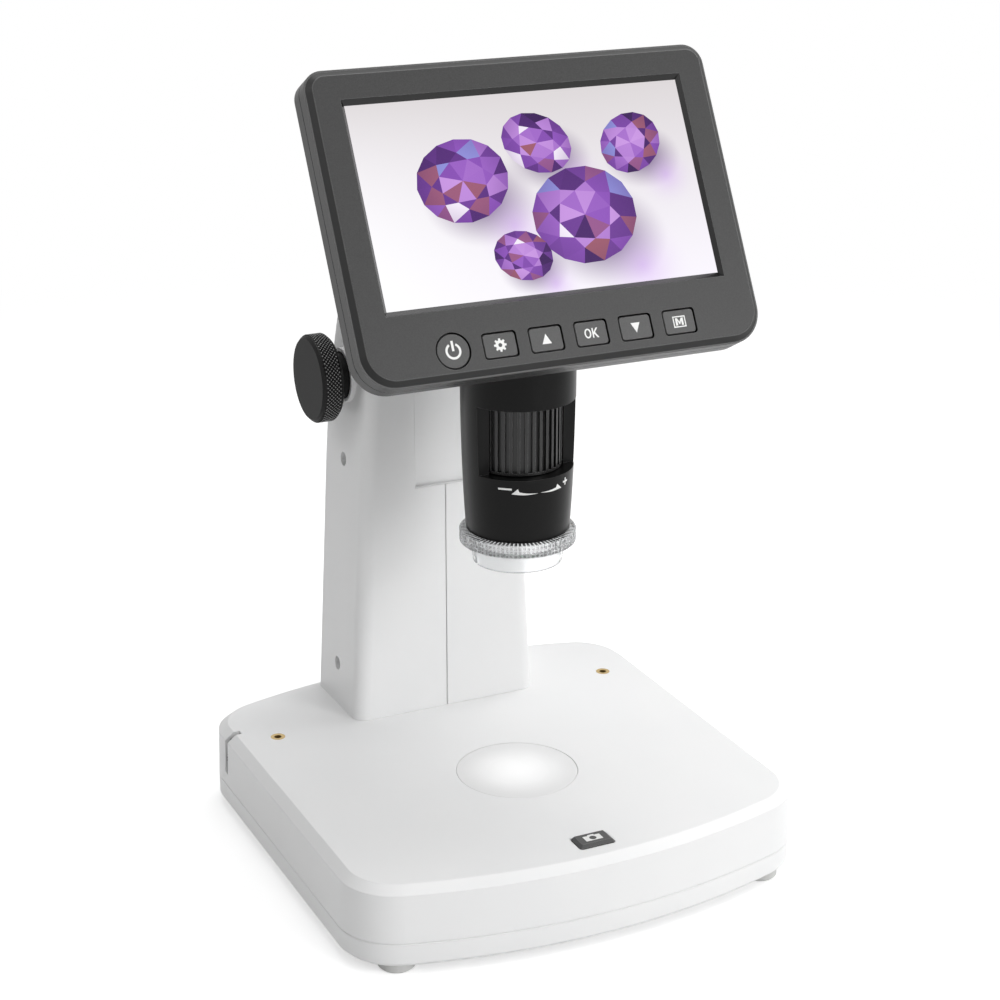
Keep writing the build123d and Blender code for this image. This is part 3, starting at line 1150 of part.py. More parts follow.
def main():
    save(make_base_top_shell(), "base_top_shell")
    save(make_base_bottom_cover(), "base_bottom_cover")
    save(make_foot_pads(), "foot_pads")
    save(make_base_screws(), "base_screws")
    save(make_stage_diffuser(), "stage_diffuser")
    save(make_stage_inserts(), "stage_inserts")
    save(make_light_box(), "light_box")
    save(make_backlight_board(), "backlight_board")
    save(make_snapshot_button(), "snapshot_button")
    save(make_snapshot_board(), "snapshot_board")
    save(make_dimmer_wheel(), "dimmer_wheel")
    save(make_dimmer_pot(), "dimmer_pot")
    save(make_base_main_board(), "base_main_board")
    save(make_power_inlet(), "power_inlet")
    save(make_ballast_bar(), "ballast_bar")
    save(make_board_screws(), "board_screws")
    left, right = make_column_shells()
    save(left, "column_left_shell")
    save(right, "column_right_shell")
    save(make_column_screws(), "column_screws")
    save(make_column_foot(), "column_foot")
    save(make_column_mount_screws(), "column_mount_screws")
    save(make_guide_rods(), "guide_rods")
    save(make_rod_head(), "rod_head")
    save(make_shaft_bushes(), "shaft_bushes")
    save(make_pinion(), "pinion")
    save(make_pinion_shaft(), "pinion_shaft")
    save(make_knob(-1), "left_knob")
    save(make_knob(1), "right_knob")
    save(make_grub_screws(), "knob_grub_screws")
    save(make_carriage(), "carriage")
    save(make_rack(), "rack")
    save(make_slide_cover(), "slide_cover")
    save(make_arm(), "arm")
    save(make_head_housing(), "head_housing")
    save(make_barrel_housing(), "barrel_housing")
    save(make_focus_wheel(), "focus_wheel")
    save(make_lens_cell(), "lens_cell")
    save(make_lens_glass(), "lens_glass")
    save(make_sensor_holder(), "sensor_holder")
    save(make_sensor_board(), "sensor_board")
    save(make_led_ring_board(), "led_ring_board")
    save(make_clear_cap(), "clear_cap")
    save(make_monitor_bezel(), "monitor_bezel")
    save(make_monitor_rear_cover(), "monitor_rear_cover")
    save(make_lcd_panel(), "lcd_panel")
    save(make_lcd_tray(), "lcd_tray")
    save(make_key_board(), "key_board")
    for name, k, is_round in KEYS:
        save(make_key(k, is_round), name)
    save(make_main_board(), "main_board")
    save(make_usb_socket(), "usb_socket")
    save(make_card_slot(), "card_slot")
    save(make_battery(), "battery")
    save(make_head_screws(), "head_screws")
    save(make_head_board_screws(), "head_board_screws")


main()
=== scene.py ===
# %% [markdown]
# # A desk-top digital microscope
#
# This lesson dresses a finished CAD model of a small digital microscope: a white moulded
# stand with a lit stage, a black focusing barrel, and a tilted colour screen with six keys.
# The CAD model is loaded first and never moved. Everything after that is finish and fine
# detail: plastics, metals, knurled rims, printed legends and the picture on the screen.

# %% Load the model
import json
import math

import bmesh
import bpy
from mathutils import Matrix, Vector

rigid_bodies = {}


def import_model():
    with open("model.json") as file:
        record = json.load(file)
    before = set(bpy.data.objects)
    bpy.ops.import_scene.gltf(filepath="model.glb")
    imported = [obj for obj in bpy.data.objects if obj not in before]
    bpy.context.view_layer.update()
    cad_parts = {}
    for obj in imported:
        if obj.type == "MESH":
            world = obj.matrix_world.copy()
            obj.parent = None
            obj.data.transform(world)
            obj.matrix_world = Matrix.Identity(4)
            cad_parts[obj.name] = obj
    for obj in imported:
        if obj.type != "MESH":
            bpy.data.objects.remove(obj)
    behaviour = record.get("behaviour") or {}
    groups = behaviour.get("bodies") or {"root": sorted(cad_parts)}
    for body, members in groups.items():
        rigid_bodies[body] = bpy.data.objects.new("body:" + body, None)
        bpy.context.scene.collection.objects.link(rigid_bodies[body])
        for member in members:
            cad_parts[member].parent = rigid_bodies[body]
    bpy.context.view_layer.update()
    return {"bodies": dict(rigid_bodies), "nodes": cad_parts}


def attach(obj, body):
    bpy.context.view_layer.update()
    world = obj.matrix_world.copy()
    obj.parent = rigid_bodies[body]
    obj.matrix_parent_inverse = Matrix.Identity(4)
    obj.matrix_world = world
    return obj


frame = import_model()
nodes = frame["nodes"]
print("nodes", len(nodes), "bodies", len(frame["bodies"]))

# %% [markdown]
# ## Sizes that come up again and again
#
# The pieces that are added later sit on the CAD solids, so their places are worked out from
# the same few measures: the optical axis, the height of the table, and the tilted plane of
# the screen. Millimetres are easier to read on small things, so the lesson thinks in
# millimetres and turns to metres only where a point goes into a mesh or a shader.

# %% Measures in millimetres
MM = 0.001
AXIS_Y = -16.9                          # the optical axis, which is upright
TABLE_Z = 30.0                          # the table and the opal disc in it
SCREEN_Y, SCREEN_Z = -29.6, 228.6       # the middle of the glass
SCREEN_TILT = math.radians(61.8)        # 0 would be a screen that lies flat
DRIVE_Y, DRIVE_Z = 58.1, 151.4          # the shaft of the two height knobs


def up_screen(u, v, w=0.0):
    """A point of the screen plane: u to the right, v up the glass, w out towards the eye."""
    c, s = math.cos(SCREEN_TILT), math.sin(SCREEN_TILT)
    return Vector((u, SCREEN_Y + v * c - w * s, SCREEN_Z + v * s + w * c)) * MM


print("middle of the glass at", tuple(round(x, 4) for x in up_screen(0, 0)))

# %% [markdown]
# ## The camera
#
# A product like this is usually shot from above the front left with a long lens, so that
# the base, the column and the screen all show their depth. A camera could be aimed with a
# Track To constraint, but plain yaw and pitch angles say exactly where it looks and leave
# nothing to chance.

# %% Place the camera
CAMERA_PLACE = (-0.293698, -0.617992, 0.367922)     # metres
CAMERA_YAW, CAMERA_PITCH = 0.446, 0.347             # radians to the right and down
LENS_MM, SENSOR_MM, FARTHEST = 80.0, 36.0, 20.0     # FARTHEST is in metres
camera = bpy.data.objects.new("camera", bpy.data.cameras.new("camera"))
bpy.context.scene.collection.objects.link(camera)
bpy.context.scene.camera = camera
camera.data.lens, camera.data.sensor_width = LENS_MM, SENSOR_MM
camera.data.clip_end = FARTHEST
camera.location = CAMERA_PLACE
aim = Vector((math.sin(CAMERA_YAW) * math.cos(CAMERA_PITCH),
              math.cos(CAMERA_YAW) * math.cos(CAMERA_PITCH), -math.sin(CAMERA_PITCH)))
camera.rotation_euler = aim.to_track_quat("-Z", "Y").to_euler()
print("camera looks along", tuple(round(x, 3) for x in aim))

# %% [markdown]
# ## Shader maths written as Python
#
# Node trees built by hand soon turn into walls of link calls. A small class that wraps one
# socket and overloads the arithmetic signs lets a finish be written as an expression, such
# as `0.4 + grain * 0.1`. Numbers go through Math nodes. Colours and directions go through
# Mix and Vector Math nodes, because a Math node would turn a colour grey.

# %% A socket that does arithmetic


class Wire:
    """One output socket. Sums and products with it add nodes to its graph."""

    def __init__(self, graph, socket):
        self.graph, self.socket = graph, socket

    def maths(self, operation, *others):
        return self.graph.add("ShaderNodeMath", {"operation": operation},
                              dict(enumerate(others)))[0]

    def __add__(self, other):
        return self.maths("ADD", self, other)

    def __mul__(self, other):
        return self.maths("MULTIPLY", self, other)

    def __sub__(self, other):
        return self.maths("SUBTRACT", self, other)

    def __rsub__(self, other):
        return self.maths("SUBTRACT", other, self)

    __radd__, __rmul__ = __add__, __mul__

    def power(self, other):
        return self.maths("POWER", self, other)

    def larger(self, other):
        return self.maths("MAXIMUM", self, other)

    def angle(self, across):
        """The angle of the point (across, this value) seen from the middle."""
        return self.maths("ARCTAN2", self, across)

    def part(self):
        """What is left of a number without its whole part, which repeats a pattern."""
        return self.maths("FRACT", self)

    def ramp(self, low, high):
        """0 below low, 1 above high, smooth between them."""
        return self.graph.add("ShaderNodeMapRange", {"interpolation_type": "SMOOTHSTEP"},
                              {"Value": self, "From Min": low, "From Max": high})[0]

    def blend(self, first, second):
        """Mixes two colours, with this value as the share of the second."""
        return self.graph.add("ShaderNodeMix", {"data_type": "RGBA"},
                              {0: self, 6: first, 7: second})[2]


class Outputs:
    """The outputs of a node, by name or number, as wires."""

    def __init__(self, graph, node):
        self.graph, self.node = graph, node

    def __getitem__(self, key):
        return Wire(self.graph, self.node.outputs[key])


class Graph:
    """A node tree. Every node but the shader maths above is written with its add method."""

    def __init__(self, tree):
        self.tree = tree

    def put(self, node, key, value):
        """Links a wire to an input, or writes a plain value on it."""
        socket = node.inputs[key]
        if isinstance(value, Wire):
            self.tree.links.new(value.socket, socket)
        elif socket.type == "RGBA" and len(value) == 3:
            socket.default_value = (*value, 1.0)
        else:
            socket.default_value = value

    def add(self, kind, settings=None, inputs=None):
        node = self.tree.nodes.new(kind)
        for key, value in (settings or {}).items():
            setattr(node, key, value)
        for key, value in (inputs or {}).items():
            self.put(node, key, value)
        return Outputs(self, node)


def grey(level):
    return (level, level, level)


print("shader maths ready")

# %% [markdown]
# ## One material is one recipe
#
# A skin is made from the same few things: a noise of a known size in millimetres, a bump of
# a known depth, corners that look a little rounded, and masks for painted highlights on
# corners and painted shade in gaps. They are methods of one class, so that a finish below is
# a few lines. The corners
# come from a Bevel node and the gaps from Ambient Occlusion, because both work on a CAD
# mesh as it is, without bevelled edges or unwrapped faces.

# %% A material with its usual nodes
OPEN_FROM, OPEN_TO = 0.25, 0.62         # shares of open sky in a gap and on a free wall


class Recipe(Graph):
    """A material and the nodes in it. Fixed values are set on the shader's own sockets."""

    def __init__(self, name, colour, roughness, **fixed):
        self.material = bpy.data.materials.new(name)
        self.material.use_nodes = True
        super().__init__(self.material.node_tree)
        self.shader = self.tree.nodes["Principled BSDF"]
        self.set(Base_Color=colour, Roughness=roughness, **fixed)

    def set(self, **inputs):
        for key, value in inputs.items():
            self.put(self.shader, key.replace("_", " "), value)

    def place(self):
        """Object coordinates, which are metres in the frame of the whole instrument."""
        return self.add("ShaderNodeTexCoord")["Object"]

    def along(self):
        """The three coordinates of the place, each as a wire."""
        return self.add("ShaderNodeSeparateXYZ", None, {0: self.place()})

    def far_from(self, point):
        """How far each place is from a fixed point, in metres."""
        return self.add("ShaderNodeVectorMath", {"operation": "DISTANCE"},
                        {0: self.place(), 1: point})["Value"]

    def noise(self, size_mm, detail=2.0, roughness=0.5, where=None):
        return self.add("ShaderNodeTexNoise", None,
                        {"Vector": where or self.place(), "Scale": 1 / (size_mm * MM),
                         "Detail": detail, "Roughness": roughness})[0]

    def bump(self, height, depth_mm, strength, normal=None):
        inputs = {"Height": height, "Distance": depth_mm * MM, "Strength": strength}
        if normal:
            inputs["Normal"] = normal
        self.set(Normal=self.add("ShaderNodeBump", None, inputs)["Normal"])

    def soft_edges(self, radius_mm):
        """Shades sharp corners as if they had a small radius, as moulded corners have."""
        return self.add("ShaderNodeBevel", {"samples": 4}, {"Radius": radius_mm * MM})[0]

    def painted_corners(self, radius_mm, least, most):
        """0 on flat walls and 1 on corners, where the dark skins get a painted highlight and
        the white one a painted shade. least and most say how far the rounded normal has to
        turn away from the wall's own."""
        turned = self.add("ShaderNodeVectorMath", {"operation": "DOT_PRODUCT"},
                          {0: self.soft_edges(radius_mm),
                           1: self.add("ShaderNodeNewGeometry")["Normal"]})["Value"]
        return (1 - turned).ramp(least, most)

    def gap_shade(self, reach_mm):
        """1 down in gaps and joint lines, where painted shade goes because little light gets
        in.
        """
        open_sky = self.add("ShaderNodeAmbientOcclusion", {"samples": 6},
                            {"Distance": reach_mm * MM})["AO"]
        return 1 - open_sky.ramp(OPEN_FROM, OPEN_TO)


print("recipe methods", ", ".join(m for m in vars(Recipe) if not m.startswith("_")))

# %% [markdown]
# ## White satin mouldings
#
# The stand is injection moulded in white ABS with a fine spark-eroded skin. A plain white
# would look like paper. Three small things make it read as plastic: corners that are a
# little rounded and painted a breath greyer, a painted shade that tones down the light on
# the bevels, a faint grain that breaks up the highlights, and a slow drift in tone and
# roughness of a few hundredths, as every large moulding has.

# %% White plastic
WHITE, WHITE_CORNER_SHADE = (0.885, 0.888, 0.89), (0.87, 0.87, 0.87)
WHITE_DARKEST, WHITE_LIGHTEST = (0.875, 0.878, 0.88), (0.89, 0.891, 0.891)
DRIFT_MM, GRAIN_MM, CORNER_MM = 38, 0.35, 0.5
white = Recipe("white satin plastic", WHITE, 0.42, Specular_IOR_Level=0.3)
drift, grain = white.noise(DRIFT_MM), white.noise(GRAIN_MM)
white.set(Roughness=0.38 + drift * 0.07 + grain * 0.05)
tone = drift.ramp(0.3, 0.7).blend(WHITE_DARKEST, WHITE_LIGHTEST)
# Corners are painted a breath greyer: painted shade that tones down the light on the bevels.
corner = white.painted_corners(CORNER_MM, least=0.01, most=0.1)
white.set(Base_Color=corner.blend(tone, WHITE_CORNER_SHADE))
white.bump(grain, 0.012, 0.35, white.soft_edges(CORNER_MM))
print("white plastic has", len(white.tree.nodes), "nodes")

# %% [markdown]
# ## Dark mouldings
#
# The screen case is a coarser, matt dark grey with speckles that are just visible close
# up. The barrel is smoother and blacker, its focus ring is ribbed, and the keys have a
# silky top. All of them share one function, which takes the two greys of the grain, its
# size and depth, and how much lighter the corners are painted, as a painted highlight.
# Down in a gap the skin is painted almost black, as painted shade where little light gets
# in.

# %% Dark plastics
# Painted shade for gaps: the tone they are painted, and how far the mask reaches.
GAP_REACH, GAP_SHADE_GREY = 0.9, 0.002        # how far a gap reaches, in mm, and its tone


def dark_moulding(name, low, high, roughness, grain_mm, depth_mm, edge_mm, spec, edge_highlight=1.0,
                  turned=(0.05, 0.25)):
    """low and high are the greys of the grain, grain_mm its size and depth_mm its depth.
    Corners look rounded by edge_mm. The factor after spec paints a highlight on the corners,
    that many times as light as high, and above 1 it also paints shade into the gaps; 1
    leaves both out. turned gives least and most for the mask that finds the corners."""
    skin = Recipe(name, grey(low), roughness, Specular_IOR_Level=spec)
    fine, broad = skin.noise(grain_mm, 3, 0.6), skin.noise(24)
    speckle = fine.ramp(0.32, 0.68) * 0.8 + broad * 0.2
    tone = speckle.blend(grey(low), grey(high))
    # Painted highlight on the corners, and painted shade down in the gaps.
    if edge_highlight > 1.0:
        tone = skin.painted_corners(edge_mm, *turned).blend(tone, grey(high * edge_highlight))
        tone = skin.gap_shade(GAP_REACH).blend(tone, grey(GAP_SHADE_GREY))
    skin.tone = tone
    skin.set(Base_Color=tone, Roughness=roughness + fine * 0.08 + broad * 0.05)
    skin.bump(fine, depth_mm, 0.5, skin.soft_edges(edge_mm))
    return skin


case_skin = dark_moulding("dark grained case", 0.016, 0.029, 0.34, grain_mm=0.42,
                          depth_mm=0.012, edge_mm=0.3, spec=0.36, edge_highlight=4.0,
                          turned=(0.01, 0.08))
barrel_skin = dark_moulding("satin black barrel", 0.001, 0.002, 0.24, grain_mm=0.5,
                            depth_mm=0.008, edge_mm=0.12, spec=0.16, edge_highlight=80.0)
wheel_skin = dark_moulding("ribbed focus ring", 0.004, 0.009, 0.26, grain_mm=0.5,
                           depth_mm=0.004, edge_mm=0.16, spec=0.5, edge_highlight=30.0,
                           turned=(0.03, 0.2))
key_skin = dark_moulding("silky key", 0.040, 0.060, 0.34, grain_mm=0.3, depth_mm=0.006,
                         edge_mm=0.2, spec=0.42, edge_highlight=3.4, turned=(0.01, 0.1))
print("dark skins", [skin.material.name for skin in
                     (case_skin, barrel_skin, wheel_skin, key_skin)])

# %% [markdown]
# ## The shoulder of the screen case
#
# The spark-eroded grain of the case stops at the shoulder round its face. The narrow band
# there is painted dark, a painted shade, and the crisp corners on both sides of it get a
# painted highlight, a thin line of light. The band is found by height above the glass.

# %% Shoulder band
SHOULDER = (-1.1, 0.42)                 # heights above the plane of the glass, in mm
LOWER_LINE, UPPER_LINE = (-1.5, -1.15), (0.42, 0.56)
SHOULDER_SHADE_GREY, HIGHLIGHT_LINE_GREY = 0.004, 0.085
at = case_skin.along()
above_glass = ((at["Z"] - SCREEN_Z * MM) * math.cos(SCREEN_TILT)
               - (at["Y"] - SCREEN_Y * MM) * math.sin(SCREEN_TILT))


def band(low, high, soft=0.06):
    """1 between two heights above the glass, with soft limits."""
    return (above_glass.ramp((low - soft) * MM, (low + soft) * MM)
            * (1 - above_glass.ramp((high - soft) * MM, (high + soft) * MM)))


# Painted shade on the shoulder band, and painted highlights in the thin lines beside it.
tone = band(*SHOULDER).blend(case_skin.tone, grey(SHOULDER_SHADE_GREY))
highlight_lines = band(*LOWER_LINE).larger(band(*UPPER_LINE))
case_skin.set(Base_Color=highlight_lines.blend(tone, grey(HIGHLIGHT_LINE_GREY)))
print("polished shoulder from", *SHOULDER, "mm above the glass")

# %% [markdown]
# ## Metals
#
# Turned, ground and cast metal differ in the direction of their marks. A turned part has
# rings round its axis, a drawn rod has lines along it, and a casting has a lumpy skin. The
# marks only need to move roughness and the normal a little.

# %% Metals


def metal(name, colour, roughness, marks_mm, stretch=(1, 1, 1), depth_mm=0.004,
          metallic=1.0):
    """stretch packs the marks along x, y and z: above 1 closer, below 1 drawn out."""
    bare = Recipe(name, colour, roughness, Metallic=metallic)
    where = bare.add("ShaderNodeMapping", None,
                     {"Vector": bare.place(), "Scale": stretch})[0]
    marks = bare.noise(marks_mm, 3, 0.6, where)
    bare.set(Roughness=roughness * 0.85 + marks * roughness * 0.4)
    bare.bump(marks, depth_mm, 0.4, bare.soft_edges(0.1))
    return bare


brass = metal("turned brass", (0.52, 0.38, 0.17), 0.34, marks_mm=0.4, stretch=(1, 1, 8))
steel = metal("drawn steel", (0.6, 0.6, 0.61), 0.3, marks_mm=0.3, stretch=(1, 1, 0.05))
tin = metal("tin plate", (0.68, 0.68, 0.7), 0.32, marks_mm=1.2)
alloy = metal("blasted aluminium", (0.66, 0.67, 0.69), 0.45, marks_mm=0.25)
iron = metal("cast iron", (0.12, 0.12, 0.125), 0.62, marks_mm=0.9, depth_mm=0.05,
             metallic=0.6)
print("metals", [bare.material.name for bare in (brass, steel, tin, alloy, iron)])

# %% [markdown]
# ## Blackened steel and black anodising
#
# A black skin on metal hides the metal: it shades like a fine, hard plastic with a dull
# shine. The function for the dark mouldings serves for it too, with a grain that is too
# fine to see as speckles. The knobs' rims get a skin of their own, because the tips of
# their knurl get a painted highlight.

# %% Black skins on metal
blacked = dark_moulding("blackened steel", 0.02, 0.035, 0.34, grain_mm=0.6,
                        depth_mm=0.004, edge_mm=0.08, spec=0.6)
anodised = dark_moulding("black anodised", 0.012, 0.018, 0.5, grain_mm=0.18,
                         depth_mm=0.004, edge_mm=0.15, spec=0.12, edge_highlight=6.0)
knurled = dark_moulding("knurled black anodised", 0.003, 0.006, 0.3, grain_mm=0.18,
                        depth_mm=0.002, edge_mm=0.06, spec=0.2)
print("black skins", [skin.material.name for skin in (blacked, anodised, knurled)])

# %% [markdown]
# ## The clear cap and its notched ring
#
# The cap is moulded in clear acrylic, and its ring is notched for the fingers. Acrylic has
# a refractive index of 1.49, but a thin wall in front of a white room then turns grey at
# its edges, so a lower index keeps it bright. The CAD ring has its coarse notches and a
# groove. The finer facets between them would take thousands of faces, so they are a pattern
# of darker cells: columns by the angle round the optical axis and rows by height, stronger
# on top of the ring than down its wall. On top of the ring the cells are a painted view of
# the black barrel through gaps, and down its wall they are painted shade along the facet
# edges.

# %% Clear acrylic
RING_FOOT, RING_TOP = 112.9, 117.2      # heights above the desk
FACETS_ROUND, FACET_ROW = 84, 1.3       # columns of cells, and the height of a row
PLAIN_FROM, PLAIN_TO = 18.15, 18.3      # outside this radius the top of the ring is plain
CLEAR, FACET_SHADE_GREY = (0.97, 0.98, 0.985), 0.02
acrylic = Recipe("clear acrylic", CLEAR, 0.06, Transmission_Weight=0.7, IOR=1.2)
acrylic.set(Roughness=0.05 + acrylic.noise(6) * 0.06)
at = acrylic.along()
x, y, z = at["X"], at["Y"] - AXIS_Y * MM, at["Z"]
column = (y.angle(x) * (FACETS_ROUND / math.tau)).part()
row = ((z - RING_FOOT * MM) * (1 / (FACET_ROW * MM))).part()
gap = column.ramp(0.12, 0.26) * (1 - column.ramp(0.74, 0.88))
cell = gap * row.ramp(0.08, 0.2) * (1 - row.ramp(0.8, 0.92))
inside = 1 - (x * x + y * y).power(0.5).ramp(PLAIN_FROM * MM, PLAIN_TO * MM)
on_top = z.ramp((RING_TOP - 0.4) * MM, (RING_TOP - 0.2) * MM) * inside
on_ring = z.ramp((RING_FOOT + 0.2) * MM, (RING_FOOT + 0.4) * MM)
# Painted dark cells: a painted view of the black barrel through gaps on top, and painted
# shade along the facet edges down the wall.
dark = (gap * on_top).larger(cell * on_ring * 0.4)
acrylic.set(Base_Color=dark.blend(CLEAR, grey(FACET_SHADE_GREY)))
print("ring of", FACETS_ROUND, "columns,", round(RING_TOP - RING_FOOT, 1), "mm high")

# %% [markdown]
# ## Lens glass and the lit stage disc
#
# The lens is clear glass with a coating that gives it a cool tint. The stage disc is opal
# acrylic over a board of white diodes. A lamp inside it would cost many samples and flood
# the table, so the disc itself glows: most in the middle, and not at all at its rim.

# %% Lens and stage disc
GLOW_FROM, STAGE_R = 2.0, 20.3          # mm from the optical axis
GLOW, OPAL_RIM, OPAL_MIDDLE = 0.19, 0.84, 0.9
lens = Recipe("coated lens", (0.9, 0.94, 1.0), 0.02, Transmission_Weight=1.0, IOR=1.6)
lens.set(Roughness=0.015 + lens.noise(3) * 0.02)

opal = Recipe("opal stage", (0.86, 0.86, 0.86), 0.3, Emission_Strength=1.0)
to_axis = opal.far_from((0, AXIS_Y * MM, TABLE_Z * MM))
middle = 1 - to_axis.ramp(GLOW_FROM * MM, STAGE_R * MM)
# The base colour is painted lighter towards the middle too: a painted pool of light.
opal.set(Emission_Color=middle.blend(grey(0.0), grey(GLOW)),
         Base_Color=middle.blend(grey(OPAL_RIM), grey(OPAL_MIDDLE)))
opal.bump(opal.noise(0.3), 0.004, 0.2)
print("stage disc", 2 * STAGE_R, "mm across")

# %% [markdown]
# ## Hidden parts
#
# The carriage is plain acetal, the boards are green with copper tracks under the lacquer,
# the battery is in shrink wrap and the feet are rubber. Most of them are never seen, but
# they get a proper finish too, because an opened or moved instrument may show them.

# %% Hidden materials
acetal = Recipe("natural acetal", (0.80, 0.79, 0.74), 0.38)
acetal.set(Roughness=0.34 + acetal.noise(5) * 0.08)
acetal.bump(acetal.noise(0.6), 0.01, 0.3, acetal.soft_edges(0.2))

board = Recipe("circuit board", (0.02, 0.16, 0.07), 0.34)
tracks = board.add("ShaderNodeTexVoronoi", {"feature": "DISTANCE_TO_EDGE"},
                   {"Vector": board.place(), "Scale": 1 / (2.2 * MM)})[0].ramp(0.02, 0.06)
board.set(Base_Color=tracks.blend((0.05, 0.27, 0.12), (0.015, 0.13, 0.06)))
board.bump(tracks, 0.03, 0.3)

wrap = Recipe("shrink wrap", (0.05, 0.09, 0.2), 0.3)
wrap.bump(wrap.noise(4, 3), 0.08, 0.4)
rubber = Recipe("grey rubber", (0.62, 0.62, 0.61), 0.6)
rubber.set(Roughness=0.58 + rubber.noise(1.5, 3) * 0.15)
rubber.bump(rubber.noise(0.4, 3), 0.02, 0.5, rubber.soft_edges(0.2))
panel = Recipe("screen surround", (0.006, 0.006, 0.007), 0.25)
panel.set(Roughness=0.22 + panel.noise(12) * 0.05)
print("hidden materials", [hidden.material.name for hidden in
                           (acetal, board, wrap, rubber, panel)])

# %% [markdown]
# ## Which node wears what
#
# One table gives every CAD node its finish. The table is checked against the model, so a
# node that was forgotten stops the script instead of staying grey.

# %% Dress the CAD nodes
WEAR = {
    white: "base_top_shell base_bottom_cover light_box column_left_shell column_right_shell "
           "slide_cover",
    case_skin: "monitor_bezel monitor_rear_cover dimmer_wheel",
    barrel_skin: "head_housing barrel_housing lens_cell sensor_holder power_inlet",
    wheel_skin: "focus_wheel",
    key_skin: "snapshot_button power_button settings_button up_button ok_button down_button "
              "mode_button",
    anodised: "left_knob right_knob",
    blacked: "base_screws column_screws knob_grub_screws",
    brass: "stage_inserts shaft_bushes pinion rack",
    steel: "board_screws column_mount_screws guide_rods pinion_shaft head_screws "
           "head_board_screws",
    tin: "lcd_tray usb_socket card_slot",
    alloy: "arm",
    iron: "ballast_bar column_foot",
    acetal: "carriage rod_head",
    board: "backlight_board snapshot_board dimmer_pot base_main_board sensor_board "
           "led_ring_board key_board main_board",
    acrylic: "clear_cap",
    lens: "lens_glass",
    opal: "stage_diffuser",
    wrap: "battery",
    rubber: "foot_pads",
    panel: "lcd_panel",
}
dressed = set()
for finish, names in WEAR.items():
    for name in names.split():
        mesh = nodes[name].data
        mesh.materials.clear()
        mesh.materials.append(finish.material)
        dressed.add(name)
forgotten = sorted(set(nodes) - dressed)
assert not forgotten, forgotten
print("dressed", len(dressed), "nodes")

# %% [markdown]
# ## Adding pieces of our own
#
# Everything printed or knurled is too fine for the CAD model and is added here as thin
# meshes. Each piece has to name the body it rides on and the material slot it takes its
# finish from, so one small function does that for all of them.

# %% A function that adds a piece


def mesh_from(name, points, faces):
    mesh = bpy.data.meshes.new(name)
    mesh.from_pydata(points, [], faces)
    mesh.update()
    return mesh


def stand(name, mesh, finish):
    """Puts a mesh with one finish into the scene."""
    thing = bpy.data.objects.new(name, mesh)
    bpy.context.scene.collection.objects.link(thing)
    mesh.materials.clear()
    mesh.materials.append(finish.material)
    return thing


def add_piece(name, mesh, finish, body):
    """Adds a piece that moves with a body and takes its finish from a material slot."""
    thing = stand(name, mesh, finish)
    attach(thing, body)


print("piece helpers ready")

# %% [markdown]
# ## Knurled rims of the height knobs
#
# A knurling tool rolls two sets of crossing grooves into the rim and leaves rows of small
# pyramids with blunt tips. A bump map would stay smooth at the outline. The rim is short,
# so the pyramids can be real: the grooves cross at every other point of a grid wrapped
# round the rim, and a raised diamond sits in each opening between them.

# %% Knurled rims
KNOB_R, KNOB_FACE, KNOB_THICK = 14.7, 42.3, 7.7     # KNOB_FACE is its distance from x = 0
KNURL_ROUND, KNURL_ROWS, KNURL_DEEP = 68, 9, 0.36
KNURL_MARGIN, KNURL_SEAT = 0.95, 0.02   # plain strip at each end, and lift off the CAD rim
TIP_SHARE = 0.36                        # half width of a tip, in steps of the grid


def knurl(side):
    """The points and faces of one rim; side is -1 for the left knob and 1 for the right."""
    start = KNOB_FACE - KNOB_THICK + KNURL_MARGIN
    length = KNOB_THICK - 2 * KNURL_MARGIN
    columns = 2 * KNURL_ROUND

    def at(i, j, radius):
        angle = 2 * math.pi * i / columns
        x = start + length * j / KNURL_ROWS
        return Vector((side * x, DRIVE_Y + radius * math.cos(angle),
                       DRIVE_Z + radius * math.sin(angle))) * MM

    points, faces, corner = [], [], {}
    grid = [(i, j) for j in range(KNURL_ROWS + 1) for i in range(columns)]
    for i, j in grid:
        if (i + j) % 2 == 0:
            corner[i, j] = len(points)
            points.append(at(i, j, KNOB_R + KNURL_SEAT))
    for i, j in grid:
        if (i + j) % 2 == 0:
            continue
        around = [((i + 1) % columns, j), (i, j + 1), ((i - 1) % columns, j), (i, j - 1)]
        found = [corner[c] for c in around if c in corner]
        if len(found) < 4:              # half an opening, at the end of the rim
            faces.append(tuple(found))
            continue
        first = len(points)
        for di, dj in ((1, 0), (0, 1), (-1, 0), (0, -1)):
            points.append(at(i + di * TIP_SHARE, j + dj * TIP_SHARE, KNOB_R + KNURL_DEEP))
        for k in range(4):
            after = (k + 1) % 4
            faces.append((found[k], found[after], first + after, first + k))
        faces.append(tuple(range(first, first + 4)))
    if side < 0:
        faces = [face[::-1] for face in faces]
    return points, faces


for side, name in ((-1, "left_knob_knurl"), (1, "right_knob_knurl")):
    add_piece(name, mesh_from(name, *knurl(side)), knurled, "height_knobs")
print("pyramids on each rim", KNURL_ROUND * (KNURL_ROWS - 1))

# %% [markdown]
# ## Painted highlights on the knurl tips
#
# The tips of the pyramids are painted light grey on the black, a painted highlight that
# makes a knurled rim glitter. Painting each tip would need a second material.
# A mask by the distance from the knobs' shaft finds all of them at once, and because they
# turn about that shaft, it still finds them when the knobs turn.

# %% Bright tips
TIP_DEPTH, GROOVE_GREY, TIP_HIGHLIGHT_GREY = 0.1, 0.003, 0.30
at = knurled.along()
y, z = at["Y"] - DRIVE_Y * MM, at["Z"] - DRIVE_Z * MM
